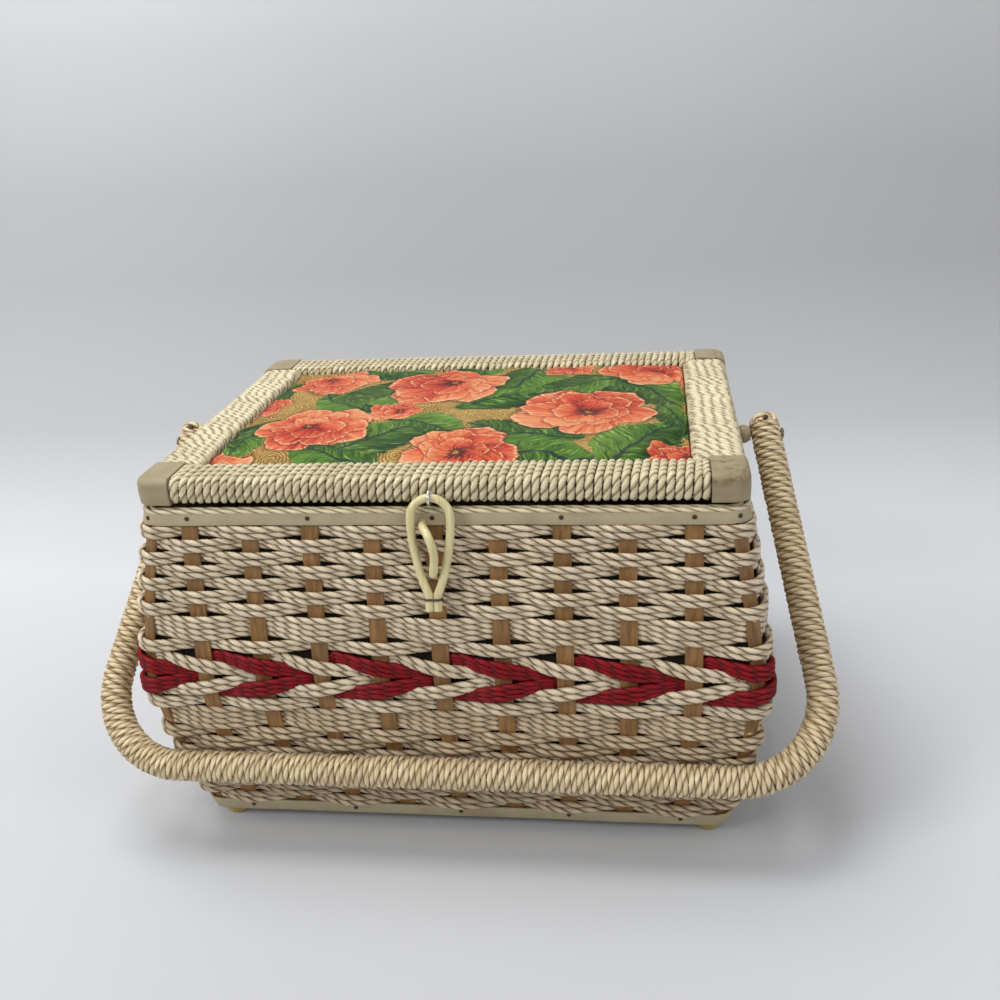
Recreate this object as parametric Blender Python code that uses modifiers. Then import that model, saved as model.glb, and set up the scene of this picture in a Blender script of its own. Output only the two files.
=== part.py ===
# A woven sewing basket: splint stakes with paper-cord rows and a red and cream chevron band,
# a padded lid on two wire hinges, a cord-wound swing handle and a loop-and-peg latch.
# Metres, +Z up, front towards -Y. The pieces are modelled about the basket's own middle, and one
# empty then moves them so that the origin is under the middle of the whole object's box.
import math

import bmesh
import bpy
from mathutils import Matrix, Vector

# Lid and rim, the sizes that the rest follows
lid_width = 0.295
lid_depth = 0.222
seam_height = 0.192
lid_thickness = 0.014
fit_gap = 0.0003

# Wall: how far the middle of the stakes stands out from the lid's plan
corner_radius = 0.0085
corner_round_share = 0.2
corner_stake_turn = math.radians(28)
base_swell = -0.0075
bulge_swell = 0.0109
rim_swell = -0.0021
bulge_share = 0.5
stake_foot_rise = 0.0015
rim_cord_drop = 0.0037

# Stakes: flat splints, counted on the front or back and on a side, plus one at each corner
front_stakes = 9
side_stakes = 7
front_stake_pitch = 0.0305
side_stake_pitch = 0.028
stake_width = 0.0085
corner_stake_width = 0.006
corner_stake_inset = 0.0008
stake_thickness = 0.0012
foot_draw_share = 0.05

# Rows: pairs of cord, woven in front of one stake and behind the next. A cord's share of the wall's
# height is one above the middle rows and a little more below them.
low_rise_share = 1.05
row_gap = 0.0006
row_thickness = 0.0022
wave_height = 0.003
corner_wave_height = 0.001
corner_clear = 0.0035
corner_turn_share = 0.42
upper_row_cords = (2, 2, 2, 2, 2, 2, 2, 4, 2)
middle_row_cords = (2, 4)
low_rows = 8

# Chevron band: two twined rows, each a red and a cream strand that change places at every stake
chevron_cords = 4
strand_thickness = 0.0017
strand_wave_height = 0.0034
strand_share = 2.15
strand_crossing_share = 1.17
strand_corner_share = 1.9
strand_climb_share = 1.1
strand_corner_climb_share = 0.37

# Rim: a hoop inside the stakes, a covering strip outside them and a cord on top
strip_thickness = 0.0012
hoop_thickness = 0.0036
hoop_height = 0.0055
hoop_bite = 0.0003
rim_cord_height = 0.003
rim_cord_width = 0.004
rim_strip_height = 0.0063

# Base
board_thickness = 0.006
board_height = 0.0063
base_strip_height = 0.0092
foot_radius = 0.0075
foot_tip_radius = 0.003
foot_inset = 0.0095

# Lining
lining_thickness = 0.001
lining_inset = 0.0052

# Lid
rail_width = 0.0258
rail_round = 0.0045
rail_inner_round = 0.002
wrap_pitch = 0.0104
wrap_groove = 0.0007
cover_length = 0.018
cover_corner_radius = 0.0055
cover_edge_round = 0.003
lid_board_thickness = 0.004
lid_board_lift = 0.0015
pad_edge_height = 0.0055
pad_crown = 0.004
pad_corner_radius = 0.008
pad_roll = 0.0035
lid_lining_thickness = 0.0008
lid_lining_inset = 0.0115

# Lid hinges: a wire eye on the basket and a wire loop on the lid
hinge_spacing = 0.18
hinge_wire = 0.0014
hinge_eye_radius = 0.002
hinge_eye_turn = math.radians(125)
hinge_shank_drop = 0.008
hinge_loop_half = 0.0032
hinge_stand_off = 0.0034
lid_opening_height = 0.0005

# Latch: a cane loop hung from a wire staple on the lid, over a cane bow on the wall
cane_diameter = 0.004
staple_wire = 0.0016
staple_height = 0.005
loop_half_width = 0.0096
loop_length = 0.0545
loop_tilt = math.radians(12)
loop_tail_gap = 0.0005
peg_top_drop = 0.007
peg_bottom_drop = 0.0325
peg_reach = 0.0135
binding_wire = 0.0012
binding_share = 0.91

# Handle: a cord-wound bail on two screws
spacer_length = 0.0072
pivot_drop = 0.0055
handle_reach = 0.1855
handle_flare = 0.155
elbow_radius = 0.043
handle_radius = 0.0086
handle_groove = 0.0009
handle_wrap_pitch = 0.0088
handle_end_overrun = 0.0085
handle_wall_gap = 0.0006
spacer_radius = 0.0052
spacer_waist_radius = 0.0034
screw_head_radius = 0.0036
screw_head_height = 0.0018
screw_shank_radius = 0.0015

wrap_corners = 6
end_lead_share = 0.04
round_steps = 12
arc_steps = 4

half_width = lid_width / 2
half_depth = lid_depth / 2
lid_top_height = seam_height + lid_thickness
stake_foot_height = board_height + stake_foot_rise
stake_top_height = seam_height - rim_cord_drop
bulge_height = stake_foot_height + bulge_share * (stake_top_height - stake_foot_height)
weave_bottom = stake_foot_height + base_strip_height
weave_top = stake_top_height - rim_strip_height
upper_cords = sum(upper_row_cords) + 2 * chevron_cords + sum(middle_row_cords)
low_cords = 2 * low_rows
cord_rise = (weave_top - weave_bottom) / (upper_cords + low_rise_share * low_cords)

for thing in list(bpy.data.objects):
    bpy.data.objects.remove(thing)

basket_collection = bpy.data.collections.new("sewing_basket")
cutter_collection = bpy.data.collections.new("cutters")
bpy.context.scene.collection.children.link(basket_collection)
bpy.context.scene.collection.children.link(cutter_collection)


# Materials

def make_material(name, colour, roughness, metallic=0.0):
    made = bpy.data.materials.new(name)
    made.use_nodes = True
    shader = made.node_tree.nodes["Principled BSDF"]
    shader.inputs["Base Color"].default_value = (*colour, 1.0)
    shader.inputs["Roughness"].default_value = roughness
    shader.inputs["Metallic"].default_value = metallic
    made.diffuse_color = (*colour, 1.0)
    return made


cream_cord = make_material("cream_cord", (0.62, 0.52, 0.36), 0.6)
pale_cord = make_material("pale_cord", (0.72, 0.66, 0.45), 0.55)
handle_cord = make_material("handle_cord", (0.66, 0.53, 0.32), 0.45)
red_cord = make_material("red_cord", (0.29, 0.012, 0.026), 0.55)
splint_wood = make_material("splint_wood", (0.38, 0.20, 0.075), 0.65)
plain_board = make_material("plain_board", (0.42, 0.29, 0.16), 0.75)
vinyl = make_material("vinyl", (0.48, 0.43, 0.29), 0.5)
lining_satin = make_material("lining_satin", (0.70, 0.55, 0.36), 0.5)
floral_fabric = make_material("floral_fabric", (0.62, 0.25, 0.12), 0.75)
pale_cane = make_material("pale_cane", (0.68, 0.62, 0.33), 0.35)
steel_wire = make_material("steel_wire", (0.62, 0.62, 0.60), 0.3, 1.0)
dark_thread = make_material("dark_thread", (0.10, 0.07, 0.04), 0.7)
foot_plastic = make_material("foot_plastic", (0.55, 0.45, 0.16), 0.4)
tan_plastic = make_material("tan_plastic", (0.32, 0.22, 0.12), 0.5)


# Building blocks

def empty_at(name, place, parent=None):
    made = bpy.data.objects.new(name, None)
    basket_collection.objects.link(made)
    made.parent = parent
    made.location = place if parent is None else Vector(place) - Vector(parent["place"])
    made["place"] = tuple(place)
    return made


def put(name, data, material, parent, smooth=False):
    # The data is drawn in the basket's own coordinates, so the object steps back from its parent.
    made = bpy.data.objects.new(name, data)
    basket_collection.objects.link(made)
    made.parent = parent
    made.location = -Vector(parent["place"])
    data.materials.append(material)
    if smooth and isinstance(data, bpy.types.Mesh):
        data.shade_smooth()
    return made


def add_faces(shape, loops, closed):
    count = len(loops[0])
    pairs = list(zip(loops, loops[1:]))
    if closed:
        pairs.append((loops[-1], loops[0]))
    for low, high in pairs:
        for i in range(count):
            j = (i + 1) % count
            shape.faces.new((low[i], low[j], high[j], high[i]))


def finish_mesh(name, shape):
    bmesh.ops.recalc_face_normals(shape, faces=shape.faces)
    made = bpy.data.meshes.new(name)
    shape.to_mesh(made)
    shape.free()
    return made


def loft(name, rings, closed=False):
    # Rings of equal count, skinned in turn. A closed loft joins its last ring to its first.
    shape = bmesh.new()
    loops = [[shape.verts.new(point) for point in ring] for ring in rings]
    add_faces(shape, loops, closed)
    if not closed:
        shape.faces.new(loops[0])
        shape.faces.new(loops[-1])
    return finish_mesh(name, shape)


def open_skin(name, rings, floor=False):
    shape = bmesh.new()
    loops = [[shape.verts.new(point) for point in ring] for ring in rings]
    add_faces(shape, loops, False)
    if floor:
        shape.faces.new(loops[-1])
    made = bpy.data.meshes.new(name)
    shape.to_mesh(made)
    shape.free()
    return made


def thicken(thing, thickness):
    solid = thing.modifiers.new("thickness", "SOLIDIFY")
    solid.thickness = thickness
    solid.offset = -1.0
    solid.use_even_offset = True


def turned(name, profile, material, place, direction, parent):
    # The profile runs down its outer side as (radius, height) along the direction.
    shape = bmesh.new()
    points = [shape.verts.new((radius, 0, height)) for radius, height in profile]
    for start, end in zip(points, points[1:]):
        shape.edges.new((start, end))
    mesh = bpy.data.meshes.new(name)
    shape.to_mesh(mesh)
    shape.free()
    made = put(name, mesh, material, parent)
    made.location = Vector(place) - Vector(parent["place"])
    made.rotation_euler = Vector(direction).to_track_quat("Z", "Y").to_euler()
    spin = made.modifiers.new("turn", "SCREW")
    spin.steps = round_steps
    spin.render_steps = round_steps
    spin.use_merge_vertices = True
    spin.merge_threshold = 0.00001
    spin.use_smooth_shade = True
    return made


def wire(name, points, diameter, material, parent, cyclic=False):
    curve = bpy.data.curves.new(name, "CURVE")
    curve.dimensions = "3D"
    curve.bevel_depth = diameter / 2
    curve.bevel_resolution = 1
    curve.use_fill_caps = not cyclic
    spline = curve.splines.new("POLY")
    spline.points.add(len(points) - 1)
    for target, point in zip(spline.points, points):
        target.co = (*point, 1)
    spline.use_cyclic_u = cyclic
    return put(name, curve, material, parent)


def arc(centre, radius, start, end, steps):
    # Points in the YZ plane, angles from +Y towards +Z.
    found = []
    for i in range(steps + 1):
        angle = start + (end - start) * i / steps
        found.append(
            Vector((centre[0], centre[1] + radius * math.cos(angle), centre[2] + radius * math.sin(angle)))
        )
    return found


# Wall profile and plan

profile_shares = (0.0, 0.5, 1.0)
upper_profile_shares = (0.557, 0.0)


def ease(share):
    return (share + math.sin(share * math.pi / 2)) / 2


def profile_levels():
    # Heights and swells where the stakes bend, from the foot to the top.
    found = []
    for share in profile_shares:
        height = stake_foot_height + share * (bulge_height - stake_foot_height)
        found.append((height, base_swell + ease(share) * (bulge_swell - base_swell)))
    for share in upper_profile_shares:
        height = stake_top_height - share * (stake_top_height - bulge_height)
        found.append((height, rim_swell + ease(share) * (bulge_swell - rim_swell)))
    return found


levels = profile_levels()


def swell_at(height):
    (low, low_swell), (high, high_swell) = levels[0], levels[1]
    for lower, upper in zip(levels, levels[1:]):
        if height >= lower[0]:
            (low, low_swell), (high, high_swell) = lower, upper
    share = (height - low) / (high - low)
    return low_swell + share * (high_swell - low_swell)


def draw_in(height):
    # The stakes stand closer together below the bulge.
    share = min(1.0, (height - stake_foot_height) / (bulge_height - stake_foot_height))
    return 1 - foot_draw_share * (1 - ease(share))


# Along, outward, distance of the face from the middle, half its length, stakes, pitch, and how far
# round the corner its last stake stands
x_axis = Vector((1, 0, 0))
y_axis = Vector((0, 1, 0))
z_axis = Vector((0, 0, 1))
front_turn = corner_stake_turn
side_turn = math.pi / 2 - corner_stake_turn
wall_sides = (
    (x_axis, -y_axis, half_depth, half_width, front_stakes, front_stake_pitch, front_turn),
    (y_axis, x_axis, half_width, half_depth, side_stakes, side_stake_pitch, side_turn),
    (-x_axis, y_axis, half_depth, half_width, front_stakes, front_stake_pitch, front_turn),
    (-y_axis, -x_axis, half_width, half_depth, side_stakes, side_stake_pitch, side_turn),
)


def radius_at(height):
    # The corners are a little rounder where the wall swells.
    return corner_radius + corner_round_share * swell_at(height)


def flat_half(side, height):
    return side[3] + swell_at(height) - radius_at(height)


def on_wall(side, distance, height, offset=0.0):
    # The point that far along a side from its middle, and its outward normal.
    along, outward, away = side[:3]
    flat = flat_half(side, height)
    radius = radius_at(height)
    turn = math.copysign(max(0.0, abs(distance) - flat) / radius, distance)
    straight = max(-flat, min(flat, distance))
    normal = outward * math.cos(turn) + along * math.sin(turn)
    centre = along * straight + outward * (away + swell_at(height) - radius)
    return centre + normal * (radius + offset) + z_axis * height, normal


def corner_distance(side, height):
    return flat_half(side, height) + radius_at(height) * side[6]


def stake_distances(side, height):
    count, pitch = side[4], side[5]
    return [(i - (count - 1) / 2) * pitch * draw_in(height) for i in range(count)]


def rounded(half_x, half_y, radius, height):
    # A rounded rectangle, anticlockwise from the front left.
    found = []
    corners = ((-1, -1), (1, -1), (1, 1), (-1, 1))
    for quarter, (sx, sy) in enumerate(corners):
        for i in range(arc_steps + 1):
            angle = math.pi + quarter * math.pi / 2 + i / arc_steps * math.pi / 2
            found.append(
                Vector((
                    sx * (half_x - radius) + radius * math.cos(angle),
                    sy * (half_y - radius) + radius * math.sin(angle),
                    height,
                ))
            )
    return found


def wall_ring(height, offset):
    out = swell_at(height) + offset
    return rounded(half_width + out, half_depth + out, radius_at(height) + offset, height)


# Frames that carry the pieces

row_reach = wave_height + row_thickness / 2


def wall_face(height):
    # How far in front of the middle the outermost cords stand.
    return half_depth + swell_at(height) + row_reach


pivot_height = seam_height - pivot_drop


def strip_face(away, height):
    # The rim strip's outer face at a height, for a side that far from the middle.
    return away + swell_at(height) + stake_thickness / 2 + fit_gap + strip_thickness


def bar_gap(angle):
    # Least distance from the middle of the handle's bar to the wall's outermost cords.
    bar_y = handle_reach * math.cos(angle)
    bar_z = pivot_height - handle_reach * math.sin(angle)
    steps = 200
    gaps = []
    for i in range(steps + 1):
        height = weave_bottom + (weave_top - weave_bottom) * i / steps
        gaps.append(math.hypot(bar_y - wall_face(height), bar_z - height))
    return min(gaps)


def resting_angle():
    # The handle swings down in front until its bar lies on the wall.
    steps = 1800
    for i in range(steps):
        angle = math.pi / 2 * i / steps
        if bar_gap(angle) < handle_radius + handle_wall_gap:
            return angle
    return math.pi / 2


# The end turns of the handle are plain, so the turned pieces seat on the leaning flats of its arms
arm_flat = handle_radius * math.cos(math.pi / wrap_corners) / math.cos(math.atan(handle_flare))
head_seat = arm_flat + screw_head_radius * handle_flare + fit_gap
spacer_seat = arm_flat + spacer_waist_radius * handle_flare + fit_gap
spacer_start = strip_face(half_width, pivot_height - spacer_waist_radius) + fit_gap
pivot_half_span = spacer_start + spacer_length + spacer_seat

rest_angle = resting_angle()
bar_front = handle_reach * math.cos(rest_angle) + handle_radius
wall_back = half_depth + bulge_swell + row_reach
frame_shift = (bar_front - wall_back) / 2

lid_axis_place = Vector((0, half_depth + hinge_stand_off, seam_height - lid_opening_height))
latch_axis_place = Vector((0, -half_depth - cane_diameter / 2 - 2 * fit_gap, seam_height + staple_height))
handle_axis_place = Vector((0, 0, pivot_height))

basket_frame = empty_at("basket_frame", (0, 0, 0))
basket_frame.location.y = frame_shift
lid_frame = empty_at("lid_frame", lid_axis_place, basket_frame)
handle_frame = empty_at("handle_frame", handle_axis_place, basket_frame)
latch_frame = empty_at("latch_frame", latch_axis_place, lid_frame)


# Base: a board on four feet, its edge covered by a strip over the stakes' ends

def build_base():
    inset = stake_thickness / 2 + corner_stake_inset + 2 * fit_gap
    edge = swell_at(stake_foot_height) - inset
    size = (half_width + edge, half_depth + edge, radius_at(stake_foot_height) - inset)
    top = board_height + board_thickness
    put("base_board", loft("base_board", [rounded(*size, board_height), rounded(*size, top)]), plain_board, basket_frame)

    outer = stake_thickness / 2 + fit_gap + strip_thickness
    high = weave_bottom - fit_gap
    low = high - base_strip_height
    strip = open_skin("base_strip", [wall_ring(low, outer), wall_ring(high, outer)])
    thicken(put("base_strip", strip, vinyl, basket_frame), strip_thickness)

    foot_top = board_height - fit_gap
    profile = (
        (0, foot_top),
        (foot_radius, foot_top),
        (foot_radius, foot_top * 0.6),
        (foot_radius * 0.8, foot_top * 0.2),
        (foot_tip_radius, 0),
        (0, 0),
    )
    foot_x = half_width + base_swell - foot_inset
    foot_y = half_depth + base_swell - foot_inset
    for end, sy in (("front", -1), ("rear", 1)):
        for hand, sx in (("left", -1), ("right", 1)):
            turned(f"foot_{end}_{hand}", profile, foot_plastic, (sx * foot_x, sy * foot_y, 0), z_axis, basket_frame)


# Stakes, each a bent splint, joined to the hoop that they are tacked to

def stake_rings(side, place, width, inset):
    found = []
    for height, _ in levels:
        distance = place(side, height)
        middle, normal = on_wall(side, distance, height, -inset)
        across = normal.cross(z_axis) * width / 2
        deep = normal * stake_thickness / 2
        found.append([middle + across + deep, middle - across + deep, middle - across - deep, middle + across - deep])
    return found


def build_stake_frame():
    shape = bmesh.new()
    for side in wall_sides:
        splints = [(lambda s, h, i=i: stake_distances(s, h)[i], stake_width, 0) for i in range(side[4])]
        splints.append((corner_distance, corner_stake_width, corner_stake_inset))
        for place, width, inset in splints:
            loops = [[shape.verts.new(p) for p in ring] for ring in stake_rings(side, place, width, inset)]
            add_faces(shape, loops, False)
            shape.faces.new(loops[0])
            shape.faces.new(loops[-1])
    stakes = bpy.data.objects.new("stakes", finish_mesh("stakes", shape))
    cutter_collection.objects.link(stakes)
    stakes.parent = basket_frame
    stakes.hide_render = True
    stakes.display_type = "WIRE"

    outer = hoop_bite - stake_thickness / 2
    inner = outer - hoop_thickness
    low = stake_top_height - hoop_height
    high = stake_top_height - hoop_bite
    rings = [wall_ring(low, outer), wall_ring(high, outer), wall_ring(high, inner), wall_ring(low, inner)]
    frame = put("stake_frame", loft("stake_frame", rings, True), splint_wood, basket_frame)
    join = frame.modifiers.new("stakes", "BOOLEAN")
    join.operation = "UNION"
    join.object = stakes


def build_rim():
    outer = stake_thickness / 2 + fit_gap + strip_thickness
    low = weave_top + fit_gap
    strip = open_skin("rim_strip", [wall_ring(low, outer), wall_ring(stake_top_height, outer)])
    thicken(put("rim_strip", strip, vinyl, basket_frame), strip_thickness)

    # A cord laid in waves over the edge of strip, stakes and hoop
    low = stake_top_height + fit_gap
    high = low + rim_cord_height
    rings = []
    for height, inset in ((low, 0), (high, 0), (high, rim_cord_width), (low, rim_cord_width)):
        out = rim_swell + outer - inset
        radius = radius_at(stake_top_height) + outer - inset
        rings.append(rounded(half_width + out, half_depth + out, radius, height))
    put("rim_cord", loft("rim_cord", rings, True), cream_cord, basket_frame)


def build_lining():
    top = stake_top_height - fit_gap
    bottom = board_height + board_thickness + fit_gap
    heights = [top] + [h for h, _ in reversed(levels) if bottom < h < top] + [bottom]
    rings = [list(reversed(wall_ring(height, -lining_inset))) for height in heights]
    skin = open_skin("lining", rings, floor=True)
    bottomless = bmesh.new()
    bottomless.from_mesh(skin)
    bmesh.ops.recalc_face_normals(bottomless, faces=bottomless.faces)
    bottomless.to_mesh(skin)
    bottomless.free()
    thicken(put("lining", skin, lining_satin, basket_frame), lining_thickness)


# Weave

def side_path(side, height, index, goes_out, rise):
    # Stations along one side, from the corner before it to the corner after it, as
    # (distance, wave, stake number). The corner before has the number index - 1.
    corner = corner_distance(side, height)
    places = stake_distances(side, height)
    turn = places[-1] + (1 - corner_turn_share) * (corner - places[-1])
    signs = [1 if goes_out(index + i) else -1 for i in range(len(places))]
    before = 1 if goes_out(index - 1) else -1
    after = 1 if goes_out(index + len(places)) else -1
    path = [
        (corner_clear - corner, before * rise, index - 1),
        (-turn, signs[0] * corner_wave_height, None),
    ]
    path += [(place, sign * rise, index + i) for i, (place, sign) in enumerate(zip(places, signs))]
    path += [
        (turn, signs[-1] * corner_wave_height, None),
        (corner - corner_clear, after * rise, index + len(places)),
    ]
    return path


def section(side, distance, low, high, wave, thickness):
    found = []
    for height, half in ((low, 1), (high, 1), (high, -1), (low, -1)):
        found.append(on_wall(side, distance, height, wave + half * thickness / 2)[0])
    return found


def build_row(name, low, high, over_corners):
    def goes_out(number):
        return (number % 2 == 1) == over_corners

    middle = (low + high) / 2
    rings = []
    index = 0
    for side in wall_sides:
        for distance, wave, _ in side_path(side, middle, index, goes_out, wave_height):
            rings.append(section(side, distance, low + row_gap / 2, high - row_gap / 2, wave, row_thickness))
        index += side[4] + 1
    put(name, loft(name, rings, True), cream_cord, basket_frame)


def build_strand(name, middle, fall, over_corners, material):
    # One strand of a twined row: in front of every other stake it slopes by fall, and behind the
    # stakes between it climbs back past the other strand.
    def goes_out(number):
        return (number % 2 == 1) == over_corners

    rings = []
    index = 0
    for side in wall_sides:
        path = side_path(side, middle, index, goes_out, strand_wave_height)
        stations = []
        for number, (distance, wave, stake) in enumerate(path):
            sign = math.copysign(1, wave)
            first, last = number < 2, number >= len(path) - 2
            if stake is None:
                climb = strand_climb_share * (sign if first else -sign)
                stations.append((distance, 0.0, climb * fall, strand_crossing_share))
            elif first or last:
                climb = strand_corner_climb_share * (-sign if first else sign)
                stations.append((distance, wave, climb * fall, strand_corner_share))
            else:
                stations.append((distance, wave, 0.0, strand_share))
                if number + 2 < len(path) - 1:
                    half_way = (distance + path[number + 1][0]) / 2
                    climb = -strand_climb_share * sign
                    stations.append((half_way, 0.0, climb * fall, strand_crossing_share))
        for distance, wave, climb, height_share in stations:
            low = middle + (climb - height_share / 2) * cord_rise
            high = low + height_share * cord_rise
            rings.append(section(side, distance, low, high, wave, strand_thickness))
        index += side[4] + 1
    put(name, loft(name, rings, True), material, basket_frame)


def build_weave():
    number = 0
    high = weave_top

    def rows(counts, first_over_corners, rise):
        nonlocal number, high
        for i, cords in enumerate(counts):
            number += 1
            low = high - cords * rise
            build_row(f"weave_row_{number:02d}", low, high, first_over_corners == (i % 2 == 0))
            high = low

    rows(upper_row_cords, True, cord_rise)
    for place, fall in (("upper", 1), ("lower", -1)):
        middle = high - chevron_cords * cord_rise / 2
        build_strand(f"chevron_{place}_red", middle, fall, True, red_cord)
        build_strand(f"chevron_{place}_cream", middle, fall, False, cream_cord)
        high -= chevron_cords * cord_rise
    rows(middle_row_cords, True, cord_rise)
    rows([2] * low_rows, True, low_rise_share * cord_rise)


# Windings: a ridge and a groove run round a bar together as two spirals

def winding(name, length, pitch, point):
    # The first and last turns lie almost flat, so that both ends are square.
    steps = (max(1, round(length / pitch)) + 2) * wrap_corners
    lead = pitch / wrap_corners * end_lead_share
    rise = (length - 2 * wrap_corners * lead) / (steps - 2 * wrap_corners)

    def travel(i):
        first = min(i, wrap_corners)
        last = max(0, i - steps + wrap_corners)
        return (first + last) * lead + (i - first - last) * rise

    shape = bmesh.new()
    ridge = [shape.verts.new(point(travel(i), i % wrap_corners, 0)) for i in range(steps + 1)]
    between = [(travel(i) + travel(i + wrap_corners)) / 2 for i in range(steps + 1)]
    groove = [shape.verts.new(point(place, i % wrap_corners, 1)) for i, place in enumerate(between)]
    for i in range(steps):
        shape.faces.new((ridge[i], ridge[i + 1], groove[i + 1], groove[i]))
    for i in range(steps - wrap_corners):
        j = i + wrap_corners
        shape.faces.new((groove[i], groove[i + 1], ridge[j + 1], ridge[j]))
    ends = (
        ridge[: wrap_corners + 1] + [groove[0]],
        groove[steps - wrap_corners :] + [ridge[steps]],
    )
    for end in ends:
        centre = sum((vert.co for vert in end), Vector()) / len(end)
        middle = shape.verts.new(centre)
        for first, second in zip(end, end[1:] + end[:1]):
            shape.faces.new((first, second, middle))
    print(name, steps // wrap_corners - 2, "turns")
    return finish_mesh(name, shape)


def rail_section(groove):
    # From the outer lower edge over the top to the inner lower edge, as (inward, height).
    g = groove * wrap_groove
    bottom = seam_height + fit_gap
    return (
        (g, bottom + g),
        (g, lid_top_height - rail_round),
        (rail_round, lid_top_height - g),
        (rail_width - rail_inner_round, lid_top_height - g),
        (rail_width - g, lid_top_height - rail_inner_round),
        (rail_width - g, bottom + g),
    )


def build_rail(name, side, half_length):
    along, outward, away = side[0], side[1], side[2]

    def point(distance, corner, groove):
        inward, height = rail_section(groove)[corner]
        return along * (distance - half_length) + outward * (away - inward) + z_axis * height

    put(name, winding(name, 2 * half_length, wrap_pitch, point), pale_cord, lid_frame)


def build_lid():
    front_half = half_width - cover_length - fit_gap
    side_half = half_depth - rail_width - fit_gap
    names = ("lid_rail_front", "lid_rail_right", "lid_rail_rear", "lid_rail_left")
    halves = (front_half, side_half, front_half, side_half)
    for name, side, half in zip(names, wall_sides, halves):
        build_rail(name, side, half)

    # Covered corner blocks between the rails
    low = seam_height + fit_gap
    for end, sy in (("front", -1), ("rear", 1)):
        for hand, sx in (("left", -1), ("right", 1)):
            name = f"lid_corner_{end}_{hand}"
            rings = []
            for height, inset in ((low, 0), (lid_top_height - cover_edge_round, 0), (lid_top_height, cover_edge_round)):
                rings.append([(sx * x, sy * y, height) for x, y in cover_outline(inset)])
            put(name, loft(name, rings), vinyl, lid_frame)

    opening_x = half_width - rail_width - fit_gap
    opening_y = half_depth - rail_width - fit_gap
    board_low = seam_height + lid_board_lift
    board_high = board_low + lid_board_thickness
    board = [rounded(opening_x, opening_y, pad_roll, height) for height in (board_low, board_high)]
    put("lid_board", loft("lid_board", board), plain_board, lid_frame)

    # Padded panel: drawn in under its rolled edge, then a low crown
    low = board_high + fit_gap
    edge = low + pad_edge_height
    rings = [rounded(opening_x - pad_roll / 2, opening_y - pad_roll / 2, pad_corner_radius - pad_roll / 2, low)]
    rings.append(rounded(opening_x, opening_y, pad_corner_radius, low + pad_edge_height / 2))
    for inset_share, rise_share in ((0.004, 0.06), (0.03, 0.30), (0.10, 0.58), (0.26, 0.86), (0.50, 1.0)):
        inset = inset_share * lid_width
        radius = max(pad_roll, pad_corner_radius - inset / 4)
        rings.append(rounded(opening_x - inset, opening_y - inset, radius, edge + rise_share * pad_crown))
        if opening_y - inset < 2 * pad_corner_radius + inset:
            break
    put("lid_pad", loft("lid_pad", rings), floral_fabric, lid_frame, smooth=True)

    lining_top = seam_height
    lining_low = lining_top - lid_lining_thickness
    size = (half_width - lid_lining_inset, half_depth - lid_lining_inset, corner_radius)
    sheet = [rounded(*size, height) for height in (lining_low, lining_top)]
    put("lid_lining", loft("lid_lining", sheet), lining_satin, lid_frame)


def cover_outline(inset):
    # One quarter, corner outwards: the two outer edges step in by inset, the inner ones stay.
    outer_x, outer_y = half_width - inset, half_depth - inset
    inner_x, inner_y = half_width - cover_length, half_depth - rail_width
    radius = cover_corner_radius - inset
    found = [(inner_x, inner_y), (outer_x, inner_y)]
    for i in range(arc_steps + 1):
        angle = i / arc_steps * math.pi / 2
        found.append((outer_x - radius + radius * math.cos(angle), outer_y - radius + radius * math.sin(angle)))
    found.append((inner_x, outer_y))
    return found


# Hinges: a wire eye behind the rim, and a loop behind the lid whose bar runs through the eye

def build_hinges():
    axis_y, axis_z = lid_axis_place.y, lid_axis_place.z
    for hand, sx in (("left", -1), ("right", 1)):
        x = sx * hinge_spacing / 2
        shank_z = seam_height - hinge_shank_drop
        shank_y = strip_face(half_depth, shank_z) + fit_gap + hinge_wire / 2
        shank = [Vector((x, shank_y, shank_z)), Vector((x, axis_y - hinge_eye_radius, axis_z - hinge_wire))]
        turn = arc((x, axis_y, axis_z), hinge_eye_radius, math.pi, -hinge_eye_turn, round_steps)
        wire(f"hinge_eye_{hand}", shank + turn, hinge_wire, steel_wire, basket_frame)

        leg_y = half_depth + hinge_wire / 2 + fit_gap
        leg_z = axis_z + 2 * hinge_stand_off
        loop = [
            (x - hinge_loop_half, leg_y, leg_z),
            (x - hinge_loop_half, axis_y, axis_z + hinge_wire),
            (x - hinge_loop_half + hinge_wire / 2, axis_y, axis_z),
            (x + hinge_loop_half - hinge_wire / 2, axis_y, axis_z),
            (x + hinge_loop_half, axis_y, axis_z + hinge_wire),
            (x + hinge_loop_half, leg_y, leg_z),
        ]
        wire(f"hinge_loop_{hand}", loop, hinge_wire, steel_wire, lid_frame)


# Latch

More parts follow.
